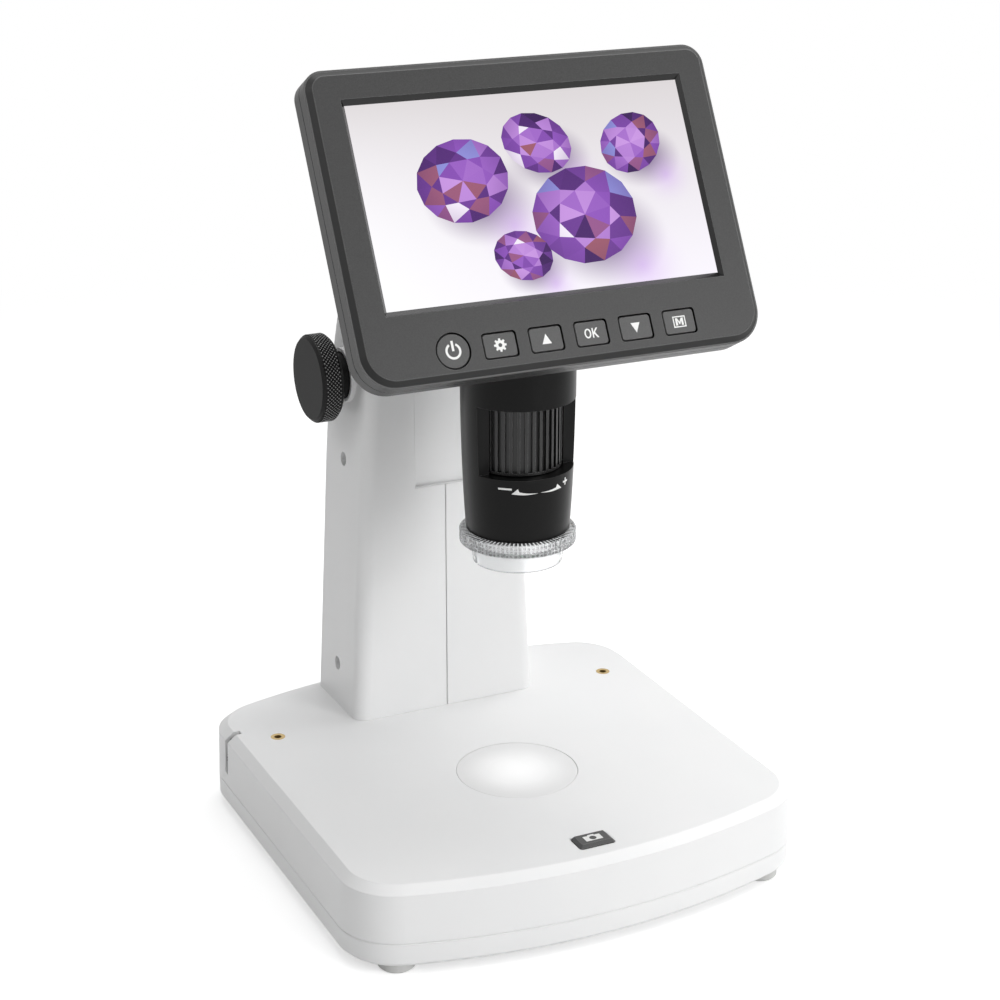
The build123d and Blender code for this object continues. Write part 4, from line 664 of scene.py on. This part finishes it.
# Painted highlight: the tips of the pyramids are painted light grey.
tip = (y * y + z * z).power(0.5).ramp((KNOB_R + KNURL_DEEP - TIP_DEPTH) * MM,
                                      (KNOB_R + KNURL_DEEP) * MM)
knurled.set(Base_Color=tip.blend(grey(GROOVE_GREY), grey(TIP_HIGHLIGHT_GREY)))
print("bright above a radius of", round(KNOB_R + KNURL_DEEP - TIP_DEPTH, 2), "mm")

# %% [markdown]
# ## Printed legends
#
# The white marks are pad printed: flat shapes a few hundredths of a millimetre thick. An
# image would need a texture file. Filled 2-D curves draw the same shapes, punch their own
# holes, and turn into a mesh whose points can then be laid on any surface, flat or round.

# %% Flat shapes from outlines
PRINT_THICK = 0.02


def flat_shape(name, outlines):
    """Fills closed outlines in millimetres; an outline inside another makes a hole."""
    curve = bpy.data.curves.new(name, "CURVE")
    curve.dimensions, curve.fill_mode, curve.extrude = "2D", "BOTH", PRINT_THICK / 2
    for outline in outlines:
        spline = curve.splines.new("POLY")
        spline.points.add(len(outline) - 1)
        for point, (x, y) in zip(spline.points, outline):
            point.co = (x, y, 0, 1)
        spline.use_cyclic_u = True
    holder = bpy.data.objects.new(name + ".outline", curve)
    mesh = bpy.data.meshes.new_from_object(holder)
    bpy.data.objects.remove(holder)
    bpy.data.curves.remove(curve)
    mesh.name = name
    return mesh


def lay(mesh, surface):
    """Moves each point (x, y, height) of a flat shape to surface(x, y, height)."""
    for vertex in mesh.vertices:
        vertex.co = surface(*vertex.co)
    mesh.update()
    return mesh


ink = Recipe("white print", (0.84, 0.84, 0.83), 0.5)
ink.set(Roughness=0.46 + ink.noise(0.8) * 0.1)
ink.bump(ink.noise(0.12), 0.003, 0.3)
print("ink is", PRINT_THICK, "mm thick")

# %% [markdown]
# ## Strokes and outlines
#
# Signs are drawn from a few outlines, as a sign maker cuts them: arcs, ellipses, boxes,
# straight bars and crosses. Each function gives a list of points in millimetres round the
# middle of the sign, and the last point joins the first when the outline is filled. As
# functions they keep every stroke even, and a size can be changed in one place.

# %% Outline helpers


def arc(radius, start, stop, steps):
    """Points round the middle, from one angle to another in degrees."""
    turns = [math.radians(start + (stop - start) * k / steps) for k in range(steps + 1)]
    return [(radius * math.cos(turn), radius * math.sin(turn)) for turn in turns]


def ellipse(rx, ry, cx, cy):
    steps = 36
    return [(cx + rx * x, cy + ry * y) for x, y in arc(1.0, 0, 360 - 360 / steps, steps - 1)]


def box(w, h):
    """A rectangle of half width w and half height h."""
    return [(-w, -h), (w, -h), (w, h), (-w, h)]


def bar(x0, y0, x1, y1, width):
    """A straight stroke with square ends."""
    dx, dy = x1 - x0, y1 - y0
    size = math.hypot(dx, dy)
    nx, ny = -dy / size * width / 2, dx / size * width / 2
    return [(x0 + nx, y0 + ny), (x0 - nx, y0 - ny), (x1 - nx, y1 - ny), (x1 + nx, y1 + ny)]


def plus(r, s):
    """A cross with arms r long and strokes of half width s."""
    return [(-s, -r), (s, -r), (s, -s), (r, -s), (r, s), (s, s),
            (s, r), (-s, r), (-s, s), (-r, s), (-r, -s), (-s, -s)]


print("a plus has", len(plus(1.2, 0.3)), "corners")

# %% [markdown]
# ## Legends on the six screen keys
#
# From left to right: standby, settings, up, OK, down and mode. They are the usual signs for
# such keys, about 3 to 5 mm high. The ring of the standby sign is open at the top, where
# its stroke passes. Each legend rides on its own key and goes down with it.

# %% Outlines of the six signs


def gear(teeth, tip, root):
    """A toothed wheel: each tooth is wider at its root than at its tip."""
    step = 360.0 / teeth
    points = []
    for k in range(teeth):
        middle = 90 + k * step
        for angle, radius in ((-0.30, root), (-0.20, tip), (0.20, tip), (0.30, root)):
            a = math.radians(middle + angle * step)
            points.append((radius * math.cos(a), radius * math.sin(a)))
    return points


def letter_m(width, height, stroke):
    w, h, s = width / 2, height / 2, stroke
    return [(-w, -h), (-w, h), (-w + s, h), (0, -0.05 * h), (w - s, h), (w, h), (w, -h),
            (w - s, -h), (w - s, 0.35 * h), (0.12, -0.75 * h), (-0.12, -0.75 * h),
            (-w + s, 0.35 * h), (-w + s, -h)]


def letter_k(left, height, stroke):
    h = height / 2
    return [(left, -h), (left, h), (left + stroke, h), (left + stroke, 0.16 * h),
            (left + 1.42, h), (left + 2.02, h), (left + 0.98, 0.13 * h), (left + 2.10, -h),
            (left + 1.50, -h), (left + 0.66, -0.20 * h), (left + stroke, -0.40 * h),
            (left + stroke, -h)]


UP = [(-1.55, -1.45), (1.55, -1.45), (0.0, 1.6)]
SIGNS = {
    "power": [arc(2.5, 118, 422, 40) + arc(1.8, 422, 118, 40), bar(0, 0, 0, 3.1, 0.75)],
    "settings": [gear(8, 2.05, 1.5), arc(0.62, 0, 345, 23)],
    "up": [UP],
    "ok": [ellipse(1.12, 1.5, -1.22, 0), ellipse(0.66, 1.05, -1.22, 0),
           letter_k(0.24, 3.0, 0.46)],
    "down": [[(x, -y) for x, y in reversed(UP)]],
    "mode": [box(2.15, 1.75), box(1.8, 1.4), letter_m(2.7, 2.3, 0.7)],
}
print("signs", ", ".join(SIGNS))

# %% Legends on the keys
KEY_V, KEY_PITCH, KEY_TOP = -45.1, 15.1, 0.45       # row of keys below the glass, in mm
PRINT_LIFT = 0.012                                  # keeps a print just clear of its key


def on_key(middle):
    """Lays a sign on the key whose middle is that far to the right on the screen."""
    return lambda x, y, lift: up_screen(middle + x, KEY_V + y, KEY_TOP + PRINT_LIFT + lift)


for order, (name, outlines) in enumerate(SIGNS.items()):
    middle = (order - (len(SIGNS) - 1) / 2) * KEY_PITCH
    legend = lay(flat_shape(name + "_legend", outlines), on_key(middle))
    add_piece(name + "_legend", legend, ink, name + "_key")
print("legends on", len(SIGNS), "keys,", KEY_PITCH, "mm apart")

# %% [markdown]
# ## The camera sign on the snapshot key
#
# The key in the base takes a still picture, so it carries a small camera: a body with a
# viewfinder hump and a round hole for the lens. It is printed as the legends are, but this
# key lies level, so the flat shape only has to be moved to it.

# %% Camera sign
SNAP_Y, SNAP_TOP = -71.2, 31.1
camera_body = [(-2.95, -1.65), (2.95, -1.65), (2.95, 1.45), (1.25, 1.45), (0.95, 1.95),
               (-0.95, 1.95), (-1.25, 1.45), (-2.95, 1.45)]
camera_lens = ellipse(1.15, 1.15, 0, -0.1)
sign = lay(flat_shape("snapshot_legend", [camera_body, camera_lens]),
           lambda x, y, lift: Vector((x, SNAP_Y + y, SNAP_TOP + PRINT_LIFT + lift)) * MM)
add_piece("snapshot_legend", sign, ink, "snapshot_key")
print("camera sign is", round((max(v.co.x for v in sign.vertices)
                               - min(v.co.x for v in sign.vertices)) / MM, 1), "mm wide")

# %% [markdown]
# ## Focus direction marks on the barrel
#
# Below the focus window a minus, two thin half-barbed arrows and a plus say which way the
# ring turns. They are printed on a wall that swells slightly upwards, so the flat shapes
# are wrapped: x becomes an angle round the optical axis, y a height, and the radius comes
# from the circle that the barrel's outline follows.

# %% Wrapped print
BARREL_PROFILE = (-752.243, 167.689, 770.592)       # centre radius, centre height, radius
BARREL_LIFT, STRIP = 0.02, 0.6                      # STRIP is the width of a flat strip


def barrel_radius(z):
    reach, height, radius = BARREL_PROFILE
    return reach + math.sqrt(radius ** 2 - (z - height) ** 2)


def on_barrel(degrees, z):
    """Lays a mark on the barrel, to the right of straight ahead by so many degrees."""
    def surface(x, y, lift):
        r = barrel_radius(z + y) + BARREL_LIFT + lift
        angle = math.radians(degrees) + x / barrel_radius(z)
        return Vector((r * math.sin(angle), AXIS_Y - r * math.cos(angle), z + y)) * MM
    return surface


def slice_up(mesh):
    """Cuts a flat shape into strips, so that it can bend smoothly round a wall."""
    cut = bmesh.new()
    cut.from_mesh(mesh)
    cuts = int(max(abs(v.co.x) for v in cut.verts) / STRIP)
    for k in range(-cuts, cuts + 1):
        bmesh.ops.bisect_plane(cut, geom=cut.verts[:] + cut.edges[:] + cut.faces[:],
                               plane_co=(k * STRIP, 0, 0), plane_no=(1, 0, 0))
    cut.to_mesh(mesh)
    cut.free()
    return mesh


print("marks on a wall of radius", round(barrel_radius(134.5), 2), "mm")

# %% The four marks


def half_arrow(length, direction):
    """A slim crescent that swells to a one-sided barb and runs out to a point."""
    lower = [(length * t, -0.3 * math.sin(math.pi * t)) for t in
             [k / 12 for k in range(13)]]
    upper = [(length * t, 0.06 + 0.7875 * (t / 0.78) ** 2.4) for t in
             [0.78 * k / 10 for k in range(9, -1, -1)]]
    shape = lower + [(0.76 * length, 1.75)] + upper
    return [(direction * x, y) for x, y in shape][::direction]


MARKS = {                               # degrees round the barrel, height, outline
    "focus_minus": (-39.2, 135.8, bar(-2.2, 0, 2.2, 0, 0.62)),
    "focus_arrow_left": (-5.2, 134.2, half_arrow(8.4, -1)),
    "focus_arrow_right": (-1.6, 134.3, half_arrow(8.0, 1)),
    "focus_plus": (31.0, 135.9, plus(1.2, 0.3)),
}
for name, (degrees, z, outline) in MARKS.items():
    mark = lay(slice_up(flat_shape(name, [outline])), on_barrel(degrees, z))
    add_piece(name, mark, ink, "head")
print("marks", ", ".join(MARKS))

# %% [markdown]
# ## The black edge round the screen
#
# The bevel of the window is polished piano black, while the case round it is matt. Polished
# black has hardly a tone of its own and shows what it mirrors. It could be one more colour
# of the case skin, but the skin is grained and the bevel is not. So it is one thin frame of
# four mitred strips, laid on the bevel of the CAD window.

# %% Window frame
WINDOW_W, WINDOW_H = 55.45, 31.25       # half sizes of the window at the glass
BEVEL_W, BEVEL_H = 1.1, 1.5             # how much further out the bevel ends
STRIP_LOW, STRIP_HIGH = -0.76, 0.61     # heights of a strip above the plane of the glass
STRIP_CLEAR = 0.03                      # keeps the strips off the CAD bevel
polish = Recipe("polished black edge", grey(0.003), 0.14, Specular_IOR_Level=0.4)
polish.set(Roughness=0.16 + polish.noise(7) * 0.05)


def window_ring(half_w, half_h, w):
    """Four corners, counted from the lower left; half sizes and height are in mm."""
    return [up_screen(u, v, w) for u, v in box(half_w - STRIP_CLEAR, half_h - STRIP_CLEAR)]


corners = (window_ring(WINDOW_W, WINDOW_H, STRIP_LOW)
           + window_ring(WINDOW_W + BEVEL_W, WINDOW_H + BEVEL_H, STRIP_HIGH))
strips = [(4 + k, 4 + (k + 1) % 4, (k + 1) % 4, k) for k in range(4)]
add_piece("window_frame", mesh_from("window_frame", corners, strips), polish, "head")
print("window frame", round(2 * (WINDOW_W + BEVEL_W), 1), "by",
      round(2 * (WINDOW_H + BEVEL_H), 1), "mm")

# %% [markdown]
# ## The picture on the screen
#
# A live picture is what makes a screen look switched on. It shows what such an instrument
# is used for: cut violet stones on a pale sheet. An image file is not needed. The sheet is
# a grid whose points carry a colour, with soft shadows worked out under each stone, and
# every facet of a stone is a small polygon with a colour of its own, a little darker
# towards the rim.

# %% Stones and their colours
STONES = [                              # mm on the glass, and degrees
    # centre u, v, radius, turn, squash, tilt, seed
    (-23.0, 5.5, 15.2, 12, 0.84, 14, 3),
    (3.5, 15.0, 11.6, 33, 0.80, -22, 8),
    (14.5, -8.5, 17.6, 4, 0.86, 8, 5),
    (35.0, 12.5, 11.0, 25, 0.82, 30, 11),
    (-8.5, -19.0, 9.6, 40, 0.80, -12, 14),
]
LIGHT_VIOLET, MID_VIOLET = (0.80, 0.60, 0.90), (0.56, 0.33, 0.74)
DEEP_VIOLET, ROSE = (0.22, 0.08, 0.33), (0.62, 0.36, 0.42)
STEEL_BLUE, SPARKLE = (0.52, 0.56, 0.85), (0.98, 0.95, 1.0)
ROSE_BELOW, BLUE_BELOW, SPARKLE_ABOVE = 0.10, 0.17, 0.93    # shares of the facets
DARK_SHARES = (0.25, 0.55, 0.8)         # dark facets in the table, the middle and the rim


def mixed(first, second, share):
    return tuple(a + (b - a) * share for a, b in zip(first, second))


def chance(seed, index, ring):
    """An uneven number from 0 to 1 that is the same on every run."""
    number = math.sin(seed * 12.9898 + index * 78.233 + ring * 37.719) * 43758.5453
    return number - math.floor(number)


def facet_colour(seed, index, ring):
    """The table of a stone is palest, its rim darkest, and a few facets flash."""
    luck = chance(seed, index, ring)
    if luck > SPARKLE_ABOVE:
        return SPARKLE
    if luck < ROSE_BELOW:
        return mixed(ROSE, MID_VIOLET, luck * 5)
    if luck < BLUE_BELOW:
        return mixed(STEEL_BLUE, LIGHT_VIOLET, luck)
    tone = (luck - BLUE_BELOW) / (SPARKLE_ABOVE - BLUE_BELOW)
    dark = DARK_SHARES[ring]
    if tone < dark:
        return mixed(DEEP_VIOLET, MID_VIOLET, (tone / dark) ** 0.7)
    return mixed(MID_VIOLET, LIGHT_VIOLET, (tone - dark) / (1 - dark))


print("violets", LIGHT_VIOLET, MID_VIOLET, DEEP_VIOLET)

# %% [markdown]
# ### How a stone is cut
#
# A round brilliant has eight-fold symmetry. Seen from above, its crown is a flat table with
# eight star facets round it, eight kites from the stars to the rim and sixteen slim facets
# along the rim. Three radii and steps of 22.5 degrees give every corner.

# %% Facets of a stone
TABLE_R, STAR_R, RIM_R = 0.52, 0.68, 1.0            # shares of the stone's radius


def stone_facets(u, v, radius, turn, squash, tilt, seed):
    """The crown of a round brilliant cut, as pairs of an outline and its colour."""
    def at(share, step):
        a, t = math.radians(turn + 22.5 * step), math.radians(tilt)
        x, y = share * radius * math.cos(a), share * radius * math.sin(a) * squash
        return (u + x * math.cos(t) - y * math.sin(t), v + x * math.sin(t) + y * math.cos(t))

    middle = at(0, 0)
    facets = []
    for k in range(8):
        s = 2 * k
        left, right, star = at(TABLE_R, s), at(TABLE_R, s + 2), at(STAR_R, s + 1)
        low, between, high = at(RIM_R, s), at(RIM_R, s + 1), at(RIM_R, s + 2)
        facets += [((middle, left, right), facet_colour(seed, k, 0)),
                   ((left, star, right), facet_colour(seed, k + 9, 1)),
                   ((left, at(STAR_R, s - 1), low, star), facet_colour(seed, k + 20, 1)),
                   ((star, low, between), facet_colour(seed, k + 31, 2)),
                   ((star, between, high), facet_colour(seed, k + 42, 2))]
    return facets


print("facets", sum(len(stone_facets(*stone)) for stone in STONES))

# %% [markdown]
# ### The sheet and its shadows
#
# The sheet runs from a warm grey at the top edge to almost white at the lower left and a
# breath of lilac at the right. Each stone throws a soft grey shadow to its lower right, with
# some violet in it, because light also passes through the stone.

# %% Colours of the sheet
LIT_W, LIT_H, LIT_DEEP = 55.35, 31.15, -0.78        # half sizes and height of the lit area
SHEET_LILAC, SHEET_GREY = (0.97, 0.955, 0.985), (0.86, 0.84, 0.845)
SHEET_WHITE = (0.99, 0.985, 0.995)
SHADOW, STONE_LIGHT = (0.30, 0.22, 0.37), (0.80, 0.62, 0.95)


def sheet_colour(u, v):
    across, up = u / LIT_W, v / LIT_H
    tone = mixed(SHEET_LILAC, SHEET_GREY, max(0.0, 0.5 + up * 0.5) ** 1.3)
    tone = mixed(tone, SHEET_WHITE, max(0.0, -across) * max(0.0, 0.7 - up * 0.6))
    for cu, cv, radius, *_ in STONES:
        far = math.hypot((u - cu - 0.28 * radius) / (1.25 * radius),
                         (v - cv + 0.42 * radius) / (0.95 * radius))
        tone = mixed(tone, SHADOW, max(0.0, 1 - far) ** 1.3 * 0.85)
        far = math.hypot((u - cu - 0.9 * radius) / radius, (v - cv + 1.0 * radius) / radius)
        tone = mixed(tone, STONE_LIGHT, max(0.0, 1 - far) ** 2 * 0.5)
    return tone


print("sheet at its lower left", tuple(round(c, 2) for c in sheet_colour(-LIT_W, -LIT_H)))

# %% [markdown]
# ### One mesh for the whole picture
#
# The sheet is a fine grid, so that its shadows are smooth. The facets lie two hundredths
# of a millimetre above it, and each stone a little above the one before, so that stones
# can overlap. The colours are kept on the points of the mesh, and the screen's finish
# glows with them.

# %% Draw the picture
COLUMNS, ROWS, FACET_LIFT, STONE_STEP, DISPLAY_GAMMA = 150, 84, 0.02, 0.004, 2.2


def facing_out(outline):
    """The outline turned so that its corners run anticlockwise."""
    area = sum(p[0] * q[1] - q[0] * p[1] for p, q in zip(outline, outline[1:] + outline[:1]))
    return outline if area > 0 else outline[::-1]


def picture_mesh():
    points, faces, colours = [], [], []
    for j in range(ROWS + 1):
        for i in range(COLUMNS + 1):
            u, v = (2 * i / COLUMNS - 1) * LIT_W, (2 * j / ROWS - 1) * LIT_H
            points.append(up_screen(u, v, LIT_DEEP))
            colours.append(sheet_colour(u, v))
    for j in range(ROWS):
        for i in range(COLUMNS):
            a = j * (COLUMNS + 1) + i
            faces.append((a, a + 1, a + COLUMNS + 2, a + COLUMNS + 1))
    for order, stone in enumerate(STONES):
        height = LIT_DEEP + FACET_LIFT + STONE_STEP * order
        for outline, colour in stone_facets(*stone):
            first = len(points)
            for u, v in facing_out(outline):
                points.append(up_screen(u, v, height))
                edge = math.hypot(u - stone[0], v - stone[1]) / stone[2]
                colours.append(mixed(colour, DEEP_VIOLET, 0.25 * edge ** 3))
            faces.append(tuple(range(first, len(points))))
    mesh = mesh_from("screen_picture", points, faces)
    layer = mesh.color_attributes.new("picture", "FLOAT_COLOR", "POINT")
    for point, colour in zip(layer.data, colours):
        point.color = (*(max(0.0, c) ** DISPLAY_GAMMA for c in colour), 1.0)
    return mesh


lit = Recipe("lit screen", grey(0.01), 0.3, Emission_Strength=1.0, Specular_IOR_Level=0.08)
lit.set(Emission_Color=lit.add("ShaderNodeVertexColor", {"layer_name": "picture"})["Color"],
        Roughness=0.28 + lit.noise(9) * 0.05)
picture = picture_mesh()
add_piece("screen_picture", picture, lit, "head")
print("picture has", len(picture.polygons), "faces")

# %% [markdown]
# ## A white floor that keeps the shadow
#
# White plastic needs a white surround that doesn't wash the object out. More light on
# everything would do that. So the floor is pale grey paper to the light that bounces, and
# gets its last step up to white only where it is looked at: by the camera, through clear
# parts and in reflections. Near the base it still holds the soft shadow, and further out
# it fades to plain white.

# %% Floor
FLOOR_SIZE, FADE_FROM, FADE_TO = 12.0, 0.15, 0.8    # metres
PAPER, PAPER_LIFT = 0.82, 0.5


def looked_at(graph):
    """1 for the camera, clear parts and reflections, 0 for light that falls on things."""
    rays = graph.add("ShaderNodeLightPath")
    return rays["Is Camera Ray"].larger(rays["Is Transmission Ray"]).larger(
        rays["Is Glossy Ray"])


paper = Recipe("studio paper", grey(PAPER), 0.9, Specular_IOR_Level=0.0,
               Emission_Strength=1.0)
seen = looked_at(paper)
away = paper.far_from((0.0, 0.0, 0.0)).ramp(FADE_FROM, FADE_TO)
paper.set(Emission_Color=seen.blend(grey(0.0), grey(PAPER_LIFT)))
plain = paper.add("ShaderNodeEmission", None, {"Color": grey(1.0)})[0]
sheet = paper.add("ShaderNodeMixShader", None, {
    0: away * seen, 1: Outputs(paper, paper.shader)["BSDF"], 2: plain})[0]
paper.put(paper.tree.nodes["Material Output"], "Surface", sheet)
floor_corners = [Vector((x, y, 0)) for x, y in box(FLOOR_SIZE / 2, FLOOR_SIZE / 2)]
floor = stand("floor", mesh_from("floor", floor_corners, [(0, 1, 2, 3)]), paper)
print("floor", FLOOR_SIZE, "m wide")

# %% [markdown]
# ## A white room that hardly lights
#
# The room round the object works like the floor: white where it is looked at, and only a
# faint even fill for the rest. Without the fill, the undersides would be black.

# %% Room
FILL = 0.18
world = bpy.data.worlds.new("studio")
bpy.context.scene.world = world
world.use_nodes = True
room = Graph(world.node_tree)
fill, surround = (room.add("ShaderNodeBackground", None,
                           {"Color": grey(1.0), "Strength": strength})[0]
                  for strength in (FILL, 1.0))
choice = room.add("ShaderNodeMixShader", None, {0: looked_at(room), 1: fill, 2: surround})[0]
room.put(room.tree.nodes["World Output"], "Surface", choice)
bpy.context.scene.view_settings.view_transform = "Standard"
print("fill light", FILL)

# %% [markdown]
# ## Soft lamps
#
# Six square lamps stand round the table, as soft boxes do. The broad ones on the right,
# behind and above shape the white stand. A low one in front reaches under the screen, a
# small one at the front right puts a sheen on the barrel and the knobs, and the weakest, on
# the left, opens the shaded side. Together they are plain light: a colour comes out about
# as it is written.

# %% Lamps
LAMPS = {                               # watts, size, place and the point it aims at, in m
    "right": (11.4, 1.2, (1.0, 0.1, 1.5), (0, 0, 0.1)),
    "back": (9.4, 1.2, (0.2, 0.5, 1.8), (0, 0, 0.1)),
    "front": (8.0, 0.9, (0.6, -1.7, 0.35), (0, 0, 0.1)),
    "sheen": (5.4, 0.5, (0.7, -1.15, 0.78), (0, 0, 0.15)),
    "top": (4.6, 1.2, (-0.1, -0.7, 1.7), (0, 0, 0.1)),
    "left": (4.0, 1.0, (-1.2, -0.2, 1.3), (0, 0, 0.1)),
}
for name, (power, size, place, target) in LAMPS.items():
    light = bpy.data.lights.new(name, "AREA")
    light.energy, light.size = power, size
    lamp = bpy.data.objects.new(name, light)
    bpy.context.scene.collection.objects.link(lamp)
    lamp.location = place
    lamp.rotation_euler = (Vector(target) - lamp.location).to_track_quat("-Z", "Y").to_euler()
print("lamps", ", ".join(LAMPS))

# %% [markdown]
